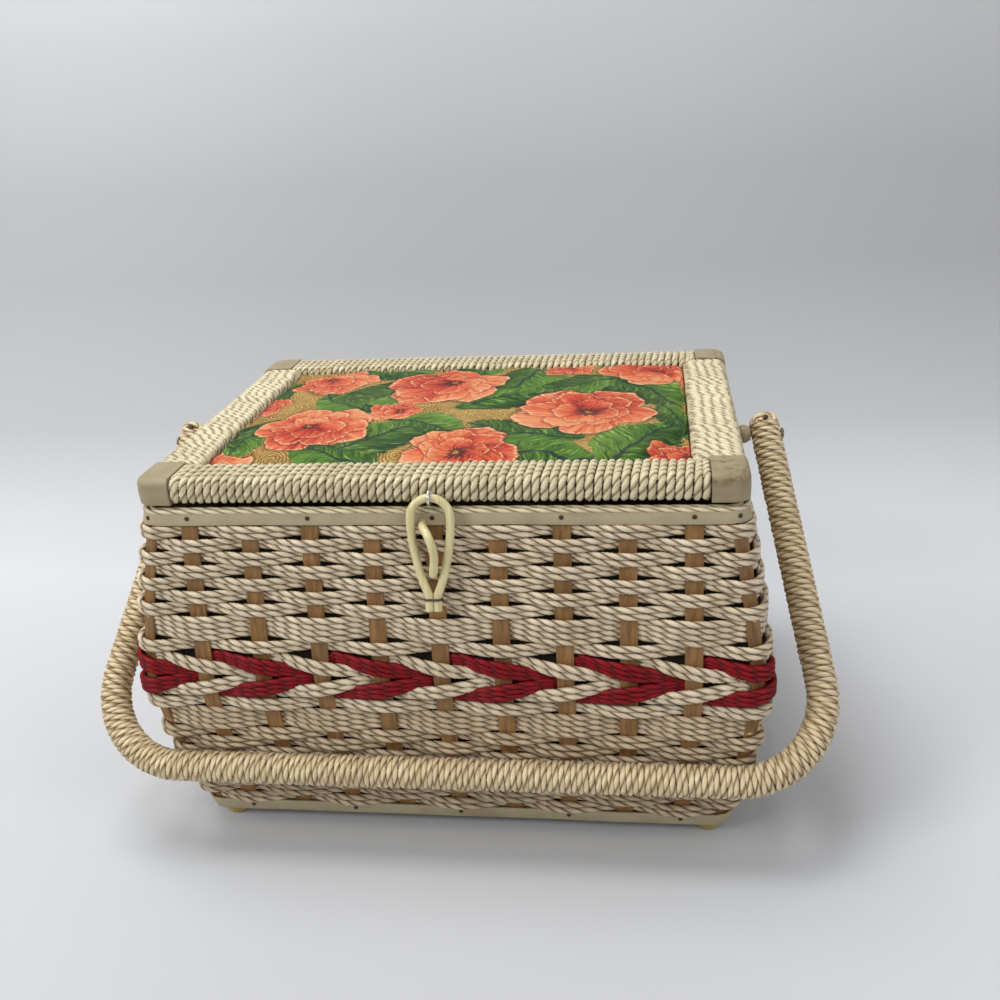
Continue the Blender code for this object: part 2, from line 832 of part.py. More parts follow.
def build_latch():
    axis_y, axis_z = latch_axis_place.y, latch_axis_place.z
    grip = cane_diameter / 2 + fit_gap + staple_wire / 2
    face = -half_depth - fit_gap
    bow = arc((0, axis_y, axis_z), grip, math.pi / 2, math.pi * 3 / 2, round_steps // 2)
    staple = [Vector((0, face, axis_z + grip))] + bow + [Vector((0, face, axis_z - grip))]
    wire("latch_staple", staple, staple_wire, steel_wire, lid_frame)

    # Loop: half widths at distances down from its top, then mirrored
    tail = cane_diameter / 2 + loop_tail_gap / 2
    shape_shares = ((0.18, 1.0), (0.37, 0.97), (0.55, 0.84), (0.68, 0.67), (0.76, 0.52))
    right = []
    for i in range(1, arc_steps + 1):
        angle = i / (arc_steps + 1) * math.pi / 2
        right.append((loop_half_width * math.sin(angle), loop_half_width * (1 - math.cos(angle))))
    right += [(loop_half_width * width, loop_length * down) for down, width in shape_shares]
    right += [(tail, loop_length * binding_share - tail), (tail, loop_length)]
    left = [(-x, down) for x, down in reversed(right)]
    hang = Vector((0, -math.sin(loop_tilt), -math.cos(loop_tilt)))
    route = [latch_axis_place + x_axis * x + hang * down for x, down in left + [(0, 0)] + right]
    wire("latch_loop", route, cane_diameter, pale_cane, latch_frame)

    # Binding round the loop's two tails
    middle = latch_axis_place + hang * loop_length * binding_share
    deep = hang.cross(x_axis)
    reach = cane_diameter / 2 + fit_gap + binding_wire / 2
    ring = []
    for centre, start in ((tail, -math.pi / 2), (-tail, math.pi / 2)):
        for i in range(arc_steps + 1):
            angle = start + i / arc_steps * math.pi
            ring.append(middle + x_axis * (centre + reach * math.cos(angle)) + deep * reach * math.sin(angle))
    wire("latch_binding", ring, binding_wire, dark_thread, latch_frame, cyclic=True)

    # Peg: a bow of the same cane, from the rim strip out and down to the wall
    top_z = seam_height - peg_top_drop
    low_z = seam_height - peg_bottom_drop
    top_y = -strip_face(half_depth, top_z - cane_diameter / 2) - fit_gap
    low_y = -wall_face(low_z - cane_diameter / 2) - fit_gap
    out_y = -half_depth - peg_reach
    bend = (top_z - low_z) / 4
    peg = [
        (0, top_y, top_z),
        (0, (top_y + out_y) / 2, top_z),
        (0, out_y + bend / 3, top_z - bend / 3),
        (0, out_y, top_z - bend),
        (0, out_y, low_z + bend),
        (0, out_y + bend / 4, low_z + bend / 4),
        (0, (low_y + out_y) / 2, low_z),
        (0, low_y, low_z),
    ]
    wire("latch_peg", [Vector(point) for point in peg], cane_diameter, pale_cane, basket_frame)


# Handle: arms that flare from the pivots, a rounded elbow on each side and a straight bar

def bail_point(distance):
    # Place and heading in the bail's own plane, as (sideways, away from the pivots), from the
    # middle of the bar towards one arm's end.
    flare = math.atan(handle_flare)
    turn = math.pi / 2 + flare
    tangent = elbow_radius * math.tan(turn / 2)
    corner_x = pivot_half_span + handle_flare * handle_reach
    bar = corner_x - tangent
    if distance <= bar:
        return (distance, handle_reach), 0.0
    swept = min(turn, (distance - bar) / elbow_radius)
    x = bar + elbow_radius * math.sin(swept)
    y = handle_reach - elbow_radius * (1 - math.cos(swept))
    beyond = distance - bar - turn * elbow_radius
    if beyond > 0:
        x += beyond * math.cos(turn)
        y -= beyond * math.sin(turn)
    return (x, y), swept


def bail_length():
    flare = math.atan(handle_flare)
    turn = math.pi / 2 + flare
    tangent = elbow_radius * math.tan(turn / 2)
    bar = pivot_half_span + handle_flare * handle_reach - tangent
    arm = handle_reach / math.cos(flare) - tangent + handle_end_overrun
    return bar + turn * elbow_radius + arm


def build_handle():
    half = bail_length()
    down = Vector((0, -math.cos(rest_angle), -math.sin(rest_angle)))
    square = x_axis.cross(down)

    def point(distance, corner, groove):
        sign = 1 if distance > half else -1
        (x, away), heading = bail_point(abs(distance - half))
        outward = down * math.cos(heading) + x_axis * (sign * math.sin(heading))
        angle = (corner + 0.5) / wrap_corners * 2 * math.pi
        plain = half - abs(distance - half) < handle_end_overrun + 2 * screw_head_radius
        radius = handle_radius - (0 if plain else groove * handle_groove)
        around = outward * math.cos(angle) + square * math.sin(angle)
        return handle_axis_place + x_axis * sign * x + down * away + around * radius

    handle = put("handle", winding("handle", 2 * half, handle_wrap_pitch, point), handle_cord, handle_frame)
    drill(handle)

    spacer_profile = (
        (0, spacer_length),
        (spacer_waist_radius, spacer_length),
        (spacer_radius, spacer_length / 2),
        (spacer_waist_radius, 0),
        (0, 0),
    )
    screw_profile = (
        (0, screw_head_height),
        (screw_head_radius * 0.6, screw_head_height * 0.85),
        (screw_head_radius, screw_head_height * 0.3),
        (screw_head_radius, 0),
        (screw_shank_radius, 0),
        (screw_shank_radius, fit_gap - head_seat - spacer_seat),
        (0, fit_gap - head_seat - spacer_seat),
    )
    for hand, sx in (("left", -1), ("right", 1)):
        outward = x_axis * sx
        place = handle_axis_place + outward * spacer_start
        turned(f"handle_spacer_{hand}", spacer_profile, tan_plastic, place, outward, basket_frame)
        place = handle_axis_place + outward * (pivot_half_span + head_seat)
        turned(f"pivot_screw_{hand}", screw_profile, steel_wire, place, outward, basket_frame)


def drill(handle):
    # One bore through each arm for its screw
    bores = bmesh.new()
    for sx in (-1, 1):
        turn = Vector((sx, 0, 0)).to_track_quat("Z", "Y").to_matrix().to_4x4()
        place = Matrix.Translation(handle_axis_place + x_axis * sx * pivot_half_span)
        bmesh.ops.create_cone(
            bores,
            cap_ends=True,
            segments=round_steps,
            radius1=screw_shank_radius + 2 * fit_gap,
            radius2=screw_shank_radius + 2 * fit_gap,
            depth=3 * handle_radius,
            matrix=place @ turn,
        )
    cutter = bpy.data.objects.new("handle_bores", finish_mesh("handle_bores", bores))
    cutter_collection.objects.link(cutter)
    cutter.parent = basket_frame
    cutter.hide_render = True
    cutter.display_type = "WIRE"
    bore = handle.modifiers.new("bores", "BOOLEAN")
    bore.operation = "DIFFERENCE"
    bore.object = cutter


build_base()
build_stake_frame()
build_rim()
build_lining()
build_weave()
build_lid()
build_hinges()
build_latch()
build_handle()
print("pivots", round(pivot_half_span, 5))
print("handle rests at", round(math.degrees(rest_angle), 2), "degrees, frame shift", round(frame_shift, 6))
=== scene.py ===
import math
import random

import bmesh
import bpy
import numpy as np
from mathutils import Matrix, Vector


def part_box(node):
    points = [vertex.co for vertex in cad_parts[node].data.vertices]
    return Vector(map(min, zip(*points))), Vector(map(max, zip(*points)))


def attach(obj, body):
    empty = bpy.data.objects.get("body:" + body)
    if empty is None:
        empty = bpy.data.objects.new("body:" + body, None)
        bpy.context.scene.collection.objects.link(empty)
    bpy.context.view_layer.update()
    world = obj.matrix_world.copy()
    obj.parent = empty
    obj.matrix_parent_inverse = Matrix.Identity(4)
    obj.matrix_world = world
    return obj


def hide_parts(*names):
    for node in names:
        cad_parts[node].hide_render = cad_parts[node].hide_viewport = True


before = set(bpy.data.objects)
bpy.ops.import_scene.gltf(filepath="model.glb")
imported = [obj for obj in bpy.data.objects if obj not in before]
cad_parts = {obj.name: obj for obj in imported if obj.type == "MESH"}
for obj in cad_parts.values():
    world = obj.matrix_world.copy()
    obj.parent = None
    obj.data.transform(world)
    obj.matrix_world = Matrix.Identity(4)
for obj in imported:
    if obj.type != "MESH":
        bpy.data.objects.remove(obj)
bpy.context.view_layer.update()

# The CAD is moved back a little so that its box is centred, so all is built about the basket's middle
coverFront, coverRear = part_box("lid_corner_front_left"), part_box("lid_corner_rear_left")
middle = Vector((0, (coverFront[0].y + coverRear[1].y) / 2, 0))
xAxis, yAxis, zAxis = Vector((1, 0, 0)), Vector((0, 1, 0)), Vector((0, 0, 1))

# Camera, found from the photograph's edges: place is from the basket's middle, in metres
camera = {"place": (0.10384, -0.56603, 0.3844), "yaw": -8.86, "pitch": -22.4, "roll": -3.76, "lens": 38.61}


def aimCamera():
    yaw, pitch, roll = (math.radians(camera[k]) for k in ("yaw", "pitch", "roll"))
    ahead = Vector((math.sin(yaw) * math.cos(pitch), math.cos(yaw) * math.cos(pitch), math.sin(pitch)))
    right = Vector((math.cos(yaw), -math.sin(yaw), 0))
    up = right.cross(ahead)
    across = right * math.cos(roll) + up * math.sin(roll)
    over = up * math.cos(roll) - right * math.sin(roll)
    data = bpy.data.cameras.new("photoCamera")
    data.lens = camera["lens"]
    data.sensor_width = 36
    data.clip_start = 0.01
    made = bpy.data.objects.new("photoCamera", data)
    bpy.context.scene.collection.objects.link(made)
    turn = Matrix((across, over, -ahead)).transposed().to_4x4()
    made.matrix_world = Matrix.Translation(Vector(camera["place"]) + middle) @ turn
    bpy.context.scene.camera = made


aimCamera()
bpy.context.scene.view_settings.view_transform = "Standard"
print("camera placed")


# Node helpers: each adds to the tree being drawn
drawing = {}


def signFor(operation, swapped=False):
    if swapped:
        return lambda wire, other: calc(operation, other, wire)
    return lambda wire, other: calc(operation, wire, other)


class Wire:
    # A node's output that plain arithmetic can take up
    def __init__(self, socket):
        self.socket = socket

    __add__, __radd__ = signFor("ADD"), signFor("ADD", True)
    __sub__, __rsub__ = signFor("SUBTRACT"), signFor("SUBTRACT", True)
    __mul__, __rmul__ = signFor("MULTIPLY"), signFor("MULTIPLY", True)
    __truediv__, __rtruediv__ = signFor("DIVIDE"), signFor("DIVIDE", True)


def feed(socket, value):
    if isinstance(value, Wire):
        socket.id_data.links.new(value.socket, socket)
    else:
        socket.default_value = (*value, 1) if socket.type == "RGBA" and len(value) == 3 else value


def addNode(kind, given=None, **settings):
    # Gives the new node's outputs by number and by name
    node = drawing["tree"].nodes.new(kind)
    for label, value in settings.items():
        setattr(node, label, value)
    for label, value in (given or {}).items():
        if value is not None:
            feed(node.inputs[label], value)
    wires = {i: Wire(socket) for i, socket in enumerate(node.outputs)}
    wires.update((socket.name, Wire(socket)) for socket in node.outputs)
    return wires


def calc(operation, *values):
    return addNode("ShaderNodeMath", dict(enumerate(values)), operation=operation)[0]


def vecCalc(operation, first, second=None, scale=None):
    wires = addNode("ShaderNodeVectorMath", {0: first, 1: second, "Scale": scale}, operation=operation)
    return wires["Value" if operation == "LENGTH" else "Vector"]


def mixColour(share, first, second, blend="MIX"):
    return addNode("ShaderNodeMix", {0: share, 6: first, 7: second}, data_type="RGBA", blend_type=blend)[2]


def noise(vector, scale, detail=2.0, rough=0.5):
    given = {"Vector": vector, "Scale": scale, "Detail": detail, "Roughness": rough}
    return addNode("ShaderNodeTexNoise", given)["Fac"]


def ramp(value, stops):
    node = drawing["tree"].nodes.new("ShaderNodeValToRGB")
    feed(node.inputs[0], value)
    points = node.color_ramp.elements
    while len(points) < len(stops):
        points.new(0.5)
    for point, (spot, colour) in zip(points, stops):
        point.position = spot
        point.color = (*colour, 1)
    return Wire(node.outputs[0])


def between(value, low, high, newLow=0.0, newHigh=1.0):
    given = dict(enumerate((value, low, high, newLow, newHigh)))
    return addNode("ShaderNodeMapRange", given, interpolation_type="SMOOTHSTEP")[0]


def readAttribute(name):
    return addNode("ShaderNodeAttribute", attribute_name=name)["Fac"]


def objectPlace():
    return addNode("ShaderNodeTexCoord")["Object"]


def combine(*axes):
    return addNode("ShaderNodeCombineXYZ", dict(enumerate(axes)))[0]


def split(vector):
    wires = addNode("ShaderNodeSeparateXYZ", {0: vector})
    return wires[0], wires[1], wires[2]


def place(group, **values):
    given = {label.replace("_", " "): value for label, value in values.items()}
    return addNode("ShaderNodeGroup", given, node_tree=group)


def startMaterial(name, roughness, metallic=0.0, **sockets):
    made = bpy.data.materials.new(name)
    made.use_nodes = True
    drawing["tree"] = made.node_tree
    skin = made.node_tree.nodes["Principled BSDF"].inputs
    for label, value in {"Roughness": roughness, "Metallic": metallic, **sockets}.items():
        skin[label.replace("_", " ")].default_value = value
    return made, skin


def addBump(skin, height, distance, strength):
    given = {"Strength": strength, "Distance": distance, "Height": height}
    feed(skin["Normal"], addNode("ShaderNodeBump", given)[0])


def startGroup(name, inputs, outputs, kind="ShaderNodeTree"):
    # Inputs are (name, socket kind, value), outputs (name, socket kind)
    tree = drawing["tree"] = bpy.data.node_groups.new(name, kind)
    for label, socketKind, value in inputs:
        socket = tree.interface.new_socket(label, in_out="INPUT", socket_type="NodeSocket" + socketKind)
        if value is not None:
            socket.default_value = value
    for label, socketKind in outputs:
        tree.interface.new_socket(label, in_out="OUTPUT", socket_type="NodeSocket" + socketKind)
    return tree, addNode("NodeGroupInput"), tree.nodes.new("NodeGroupOutput").inputs


# Shared groups: fibres along a cord with painted shade in its creases, and handling marks on flat skins

def makeCordFibreAndShade():
    tree, given, out = startGroup(
        "cordFibre",
        [("Colour", "Color", (1, 1, 1, 1)), ("Shadow", "Color", (0, 0, 0, 1)),
         ("Fibre Scale", "Float", 1.0), ("Variation", "Float", 0.3), ("Crease Tone", "Float", 0.92)],
        [("Colour", "Color"), ("Roughness", "Float"), ("Height", "Float")],
    )
    along, around, crease = (readAttribute(name) for name in ("alongCord", "aroundCord", "creaseOfCord"))
    drift = split(objectPlace())[2] * 60.0
    lengthwise = combine(along * 85.0, around * 4.2, drift)
    fibres = noise(lengthwise, given["Fibre Scale"], 4.0, 0.62)
    spot = noise(objectPlace(), 55.0)
    fine = noise(objectPlace(), 900.0, 1.0, 0.5)
    share = between(fibres, 0.36, 0.66, 1.0, 0.0) * given["Variation"]
    toned = mixColour(share, given["Colour"], given["Shadow"])
    aged = mixColour(between(spot, 0.42, 0.75) * 0.25, toned, given["Shadow"])
    # painted shade: the cord darkens towards each crease, and a dark line is painted along the crease itself
    creaseShaded = mixColour(between(crease, 0.05, 0.9, 0.0, 0.75), aged, given["Shadow"])
    deep = mixColour(1.0, given["Shadow"], (0.32, 0.27, 0.24), "MULTIPLY")
    line = between(crease, 0.55, 0.95) * given["Crease Tone"]
    feed(out["Colour"], mixColour(line, creaseShaded, deep))
    feed(out["Roughness"], between(fibres, 0.3, 0.7, 0.55, 0.38))
    feed(out["Height"], fibres + fine * 0.25)
    return tree


def makeHandling():
    tree, given, out = startGroup(
        "handlingMarks",
        [("Colour", "Color", (1, 1, 1, 1)), ("Grime", "Color", (0, 0, 0, 1)),
         ("Amount", "Float", 0.3), ("Grain Scale", "Float", 900.0)],
        [("Colour", "Color"), ("Roughness", "Float"), ("Height", "Float")],
    )
    spot = objectPlace()
    cloud = noise(spot, 38.0, 4.0, 0.62)
    streak = noise(vecCalc("MULTIPLY", spot, (18.0, 60.0, 160.0)), 1.0, 3.0, 0.6)
    grain = noise(spot, given["Grain Scale"], 2.0, 0.55)
    soil = between(cloud * 0.7 + streak * 0.3, 0.42, 0.68) * given["Amount"]
    feed(out["Colour"], mixColour(soil, given["Colour"], given["Grime"]))
    feed(out["Roughness"], between(cloud, 0.3, 0.7, 0.40, 0.60))
    feed(out["Height"], grain)
    return tree


cordFibre, handlingMarks = makeCordFibreAndShade(), makeHandling()


# crease sets how dark the painted shade line along each crease is
def cordMaterial(name, colour, shadow, variation=0.45, sheen=0.15, crease=0.92, **sockets):
    made, skin = startMaterial(name, 0.5, Sheen_Weight=sheen, Sheen_Roughness=0.4, **sockets)
    fibreAndShade = place(
        cordFibre, Colour=colour, Shadow=shadow, Fibre_Scale=1.0, Variation=variation, Crease_Tone=crease)
    feed(skin["Base Color"], fibreAndShade["Colour"])
    feed(skin["Roughness"], fibreAndShade["Roughness"])
    addBump(skin, fibreAndShade["Height"], 0.00012, 0.6)
    return made


def skinMaterial(name, colour, grime, amount, grainScale, bump, roughness=None, **sockets):
    made, skin = startMaterial(name, roughness or 0.5, **sockets)
    marks = place(handlingMarks, Colour=colour, Grime=grime, Amount=amount, Grain_Scale=grainScale)
    feed(skin["Base Color"], marks["Colour"])
    if roughness is None:
        feed(skin["Roughness"], marks["Roughness"])
    addBump(skin, marks["Height"], bump, 0.5)
    return made


def coverMaterial():
    # The same vinyl, scuffed brown along its upper edges
    made, skin = startMaterial("coverVinyl", 0.5, Specular_IOR_Level=0.3)
    marks = place(
        handlingMarks, Colour=(0.345, 0.285, 0.172), Grime=(0.22, 0.165, 0.09), Amount=0.6,
        Grain_Scale=1400.0)
    axes = split(objectPlace())
    blot = noise(objectPlace(), 190.0, 4.0, 0.7)
    patch = noise(objectPlace(), 60.0)
    edge = between(axes[2], 0.1985, 0.2045) * between(axes[0], -0.10, 0.12, 0.15, 1.0)
    scuff = edge * between(blot, 0.48, 0.66) * between(patch, 0.42, 0.60, 0.0, 0.85)
    feed(skin["Base Color"], mixColour(scuff, marks["Colour"], (0.13, 0.065, 0.025)))
    feed(skin["Roughness"], marks["Roughness"])
    addBump(skin, marks["Height"] - scuff, 0.00015, 0.5)
    return made


def splintMaterial():
    made, skin = startMaterial("stainedSplint", 0.55)
    grain = noise(vecCalc("MULTIPLY", objectPlace(), (420.0, 420.0, 22.0)), 1.0, 4.0, 0.6)
    patch = noise(objectPlace(), 45.0)
    wood = ramp(
        grain, ((0.25, (0.12, 0.055, 0.014)), (0.5, (0.245, 0.120, 0.034)), (0.78, (0.37, 0.20, 0.068))))
    feed(skin["Base Color"], mixColour(between(patch, 0.4, 0.7, 0.0, 0.45), wood, (0.14, 0.075, 0.022)))
    addBump(skin, grain, 0.0002, 0.5)
    return made


def boardMaterial():
    made, skin = startMaterial("pressedBoard", 0.75)
    speck = noise(objectPlace(), 320.0, 4.0, 0.7)
    cloud = noise(objectPlace(), 14.0, 3.0, 0.5)
    base = ramp(speck, ((0.3, (0.22, 0.13, 0.06)), (0.55, (0.36, 0.23, 0.12)), (0.8, (0.46, 0.32, 0.18))))
    feed(skin["Base Color"], mixColour(between(cloud, 0.4, 0.7, 0, 0.35), base, (0.25, 0.16, 0.08)))
    addBump(skin, speck, 0.0002, 0.4)
    return made


def satinMaterial():
    made, skin = startMaterial("goldSatin", 0.38, Sheen_Weight=0.35, Sheen_Roughness=0.35)
    threads = calc("SINE", split(objectPlace())[2] * 9000.0)
    cloud = noise(objectPlace(), 24.0, 3.0, 0.5)
    feed(skin["Base Color"], mixColour(between(cloud, 0.35, 0.7), (0.72, 0.50, 0.25), (0.66, 0.445, 0.21)))
    addBump(skin, threads * 0.2 + cloud, 0.0002, 0.4)
    return made


def caneMaterial():
    made, skin = startMaterial("paleCane", 0.32, Coat_Weight=0.25, Coat_Roughness=0.25)
    streak = noise(vecCalc("MULTIPLY", objectPlace(), (700.0, 200.0, 45.0)), 1.0, 3.0, 0.6)
    cloud = noise(objectPlace(), 130.0)
    tone = mixColour(between(streak, 0.35, 0.7), (0.72, 0.64, 0.35), (0.58, 0.49, 0.24))
    feed(skin["Base Color"], mixColour(between(cloud, 0.5, 0.8, 0, 0.4), tone, (0.46, 0.36, 0.16)))
    addBump(skin, streak, 0.0001, 0.4)
    return made


def metalMaterial(name, colour, roughness):
    made, skin = startMaterial(name, roughness, 1.0)
    scratch = noise(objectPlace(), 700.0, 3.0, 0.6)
    feed(
        skin["Base Color"],
        mixColour(between(scratch, 0.4, 0.7, 0, 0.5), colour, tuple(0.55 * c for c in colour)))
    feed(skin["Roughness"], between(scratch, 0.3, 0.7, roughness * 0.8, roughness * 1.4))
    return made


def amberMaterial():
    made, skin = startMaterial("amberPlastic", 0.28, Coat_Weight=0.3)
    cloud = noise(objectPlace(), 160.0, 3.0, 0.5)
    feed(skin["Base Color"], mixColour(between(cloud, 0.35, 0.7), (0.40, 0.30, 0.095), (0.29, 0.20, 0.05)))
    return made


finishes = {
    "wallCord": cordMaterial("wallPaperCord", (0.90, 0.77, 0.56), (0.27, 0.175, 0.078), crease=0.84),
    # a darker copy of the wall cord: painted shade for the rows low on the wall
    "shadedLowCord": cordMaterial("lowPaperCord", (0.77, 0.62, 0.42), (0.23, 0.14, 0.056), crease=0.84),
    "railCord": cordMaterial("railPaperCord", (0.87, 0.785, 0.535), (0.36, 0.27, 0.13), crease=0.62),
    "handleCord": cordMaterial(
        "handlePaperCord", (0.92, 0.775, 0.50), (0.33, 0.205, 0.082), 0.5, crease=0.62),
    "redCord": cordMaterial(
        "redPaperCord", (0.31, 0.006, 0.012), (0.12, 0.003, 0.005), 0.6, 0.0, 0.6, Specular_IOR_Level=0.2),
    # cord colour darkened as painted shade, for the cores seen between wraps
    "coreCord": cordMaterial("coreCord", (0.20, 0.15, 0.085), (0.09, 0.06, 0.03), 0.5, 0.0),
    # near-black card: painted shade behind the gaps in the weave
    "card": skinMaterial("backingCard", (0.050, 0.036, 0.022), (0.03, 0.02, 0.012), 0.4, 300.0, 0.0001, 0.9),
    "splint": splintMaterial(), "board": boardMaterial(), "satin": satinMaterial(), "cane": caneMaterial(),
    "wire": metalMaterial("brightWire", (0.72, 0.72, 0.70), 0.28),
    "tack": metalMaterial("darkTack", (0.09, 0.065, 0.045), 0.42), "amber": amberMaterial(),
    "vinyl": skinMaterial(
        "beigeVinyl", (0.42, 0.355, 0.225), (0.25, 0.19, 0.11), 0.5, 1400.0, 0.00012,
        Specular_IOR_Level=0.3),
    "coverVinyl": coverMaterial(),
    "tan": skinMaterial("tanSpacer", (0.36, 0.285, 0.165), (0.20, 0.14, 0.07), 0.5, 600.0, 0.0001, 0.5),
    "screw": metalMaterial("dullScrew", (0.24, 0.20, 0.15), 0.45),
    "thread": skinMaterial(
        "bindingThread", (0.10, 0.075, 0.045), (0.04, 0.03, 0.02), 0.6, 1500.0, 0.0001, 0.75)}
print("finishes made")


# Mesh helpers

def newPiece(name, mesh, finish, smooth=True):
    made = bpy.data.objects.new(name, mesh)
    bpy.context.scene.collection.objects.link(made)
    if finish is not None:
        mesh.materials.clear()
        mesh.materials.append(finishes[finish])
    if smooth:
        mesh.shade_smooth()
    return made


def settle(piece, body, node=None):
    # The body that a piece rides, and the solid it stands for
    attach(piece, body)
    if node:
        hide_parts(node)


def toMesh(shape, name):
    bmesh.ops.recalc_face_normals(shape, faces=shape.faces)
    made = bpy.data.meshes.new(name)
    shape.to_mesh(made)
    shape.free()
    return made


def addRings(shape, rings, closedAlong=False, caps=True):
    # Faces between rings of the same number of points
    loops = [[shape.verts.new(Vector(p) + middle) for p in ring] for ring in rings]
    pairs = list(zip(loops, loops[1:])) + ([(loops[-1], loops[0])] if closedAlong else [])
    for low, high in pairs:
        for i in range(len(low)):
            j = (i + 1) % len(low)
            shape.faces.new((low[i], low[j], high[j], high[i]))
    if caps and not closedAlong:
        shape.faces.new(loops[0])
        shape.faces.new(loops[-1])


def skinRings(name, rings, **options):
    shape = bmesh.new()
    addRings(shape, rings, **options)
    return toMesh(shape, name)


def pathMesh(name, paths, closed):
    made = bpy.data.meshes.new(name)
    points, edges = [], []
    for path in paths:
        start = len(points)
        points += [tuple(Vector(p) + middle) for p in path]
        count = len(path)
        edges += [(start + i, start + i + 1) for i in range(count - 1)]
        if closed:
            edges.append((start + count - 1, start))
    made.from_pydata(points, edges, [])
    return made


def dressSolids(finish, *nodes):
    # Solids that show as they are
    for node in nodes:
        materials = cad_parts[node].data.materials
        materials.clear()
        materials.append(finishes[finish])


def bakeModifiers(source, name, finish=None, smooth=False):
    graph = bpy.context.evaluated_depsgraph_get()
    mesh = bpy.data.meshes.new_from_object(
        source.evaluated_get(graph), preserve_all_data_layers=True, depsgraph=graph)
    old = source.data
    bpy.data.objects.remove(source)
    if old.users == 0 and isinstance(old, bpy.types.Mesh):
        bpy.data.meshes.remove(old)
    mesh.name = name
    return newPiece(name, mesh, finish, smooth)


def grow(name, mesh, tree, **values):
    # Runs a node tree on a mesh and keeps the plain result
    source = bpy.data.objects.new(name + "Path", mesh)
    bpy.context.scene.collection.objects.link(source)
    modifier = source.modifiers.new("grow", "NODES")
    modifier.node_group = tree
    items = [s for s in tree.interface.items_tree if s.item_type == "SOCKET" and s.in_out == "INPUT"]
    sockets = {s.name: s.identifier for s in items}
    for label, value in values.items():
        modifier[sockets[label.replace("_", " ")]] = value
    source.update_tag()
    bpy.context.view_layer.update()
    return bakeModifiers(source, name)


def keepAttribute(geometry, name, value):
    given = {"Geometry": geometry, "Name": name, "Value": value}
    return addNode("GeometryNodeStoreNamedAttribute", given, data_type="FLOAT", domain="POINT")[0]


def finishSolid(out, solid, kinds, material):
    # Smooth shading, plain geometry and the material, in the order given
    for kind in kinds:
        solid = addNode("GeometryNode" + kind, {"Geometry": solid})[0]
    feed(out["Geometry"], addNode("GeometryNodeSetMaterial", {"Geometry": solid, "Material": material})[0])


# Paper cord: two plies pressed together, drawn as one ring with two creases that turns along each path
def makeTwistedCord():
    tree, given, out = startGroup(
        "twistedCord",
        [("Geometry", "Geometry", None), ("Radius", "Float", 0.0017), ("Crease Depth", "Float", 0.24),
         ("Twist Pitch", "Float", 0.011), ("Wander", "Float", 0.2), ("Wander Rate", "Float", 0.0),
         ("Step", "Float", 0.0015), ("Sides", "Int", 12), ("Material", "Material", None)],
        [("Geometry", "Geometry")], "GeometryNodeTree",
    )
    line = addNode("GeometryNodeMeshToCurve", {"Mesh": given["Geometry"]})[0]
    line = addNode("GeometryNodeResampleCurve", {"Curve": line, "Length": given["Step"]}, mode="LENGTH")[0]
    along = addNode("GeometryNodeSplineParameter")
    total = addNode("GeometryNodeSplineLength")["Length"]
    line = keepAttribute(line, "alongCord", along["Length"])
    turns = calc("ROUND", total / given["Twist Pitch"])
    drift = addNode("ShaderNodeTexNoise", {
        "Vector": vecCalc("SCALE", addNode("GeometryNodeInputPosition")[0], scale=14.0),
        "W": along["Length"] * given["Wander Rate"], "Scale": 1.0}, noise_dimensions="4D")[0]
    stray = (drift - 0.5) * given["Wander"]
    spun = (along["Factor"] * turns + stray) * (2 * math.pi)
    line = addNode("GeometryNodeSetCurveTilt", {"Curve": line, "Tilt": spun})[0]

    ring = addNode("GeometryNodeCurvePrimitiveCircle", {"Resolution": given["Sides"], "Radius": 1.0})[0]
    angle = addNode("GeometryNodeSplineParameter")["Factor"] * (2 * math.pi)
    # points gather towards the creases
    angle = angle - calc("SINE", angle * 2.0) * 0.35
    crease = 1.0 - calc("ABSOLUTE", calc("SINE", angle))
    sunk = calc("POWER", crease, 2.2) * given["Crease Depth"]
    reach = (1.0 - sunk) * given["Radius"]
    across = calc("COSINE", angle)
    for label, value in (("creaseOfCord", crease), ("aroundCord", across)):
        ring = keepAttribute(ring, label, value)
    spot = combine(across * reach, calc("SINE", angle) * reach, 0.0)
    ring = addNode("GeometryNodeSetPosition", {"Geometry": ring, "Position": spot})[0]
    solid = addNode("GeometryNodeCurveToMesh", {"Curve": line, "Profile Curve": ring, "Fill Caps": True})[0]
    finishSolid(out, solid, ("SetShadeSmooth", "RealizeInstances"), given["Material"])
    return tree


# A small turned head at every point, facing along the point's own normal
def makeTackHeads():
    tree, given, out = startGroup(
        "tackHeads",
        [("Geometry", "Geometry", None), ("Head Radius", "Float", 0.0011), ("Head Rise", "Float", 0.6),
         ("Material", "Material", None)],
        [("Geometry", "Geometry")], "GeometryNodeTree",
    )
    ball = addNode(
        "GeometryNodeMeshUVSphere", {"Segments": 14, "Rings": 8, "Radius": given["Head Radius"]})[0]
    ball = addNode(
        "GeometryNodeTransform", {"Geometry": ball, "Scale": combine(1.0, 1.0, given["Head Rise"])})[0]
    facing = addNode("GeometryNodeInputNamedAttribute", {"Name": "facing"}, data_type="FLOAT_VECTOR")[0]
    turn = addNode("FunctionNodeAlignRotationToVector", {"Vector": facing}, axis="Z")[0]
    spots = addNode("GeometryNodeMeshToPoints", {"Mesh": given["Geometry"]})[0]
    spread = addNode(
        "GeometryNodeInstanceOnPoints", {"Points": spots, "Instance": ball, "Rotation": turn})[0]
    finishSolid(out, spread, ("RealizeInstances", "SetShadeSmooth"), given["Material"])
    return tree


twistedCord, tackHeads = makeTwistedCord(), makeTackHeads()


def cordPiece(name, paths, closed, finish, radius, pitch, step=0.0014, crease=0.30):
    return grow(
        name, pathMesh(name, paths, closed), twistedCord, Radius=radius, Crease_Depth=crease,
        Twist_Pitch=pitch, Wander=0.9, Wander_Rate=0.0 if closed else 22.0, Step=step,
        Material=finishes[finish])


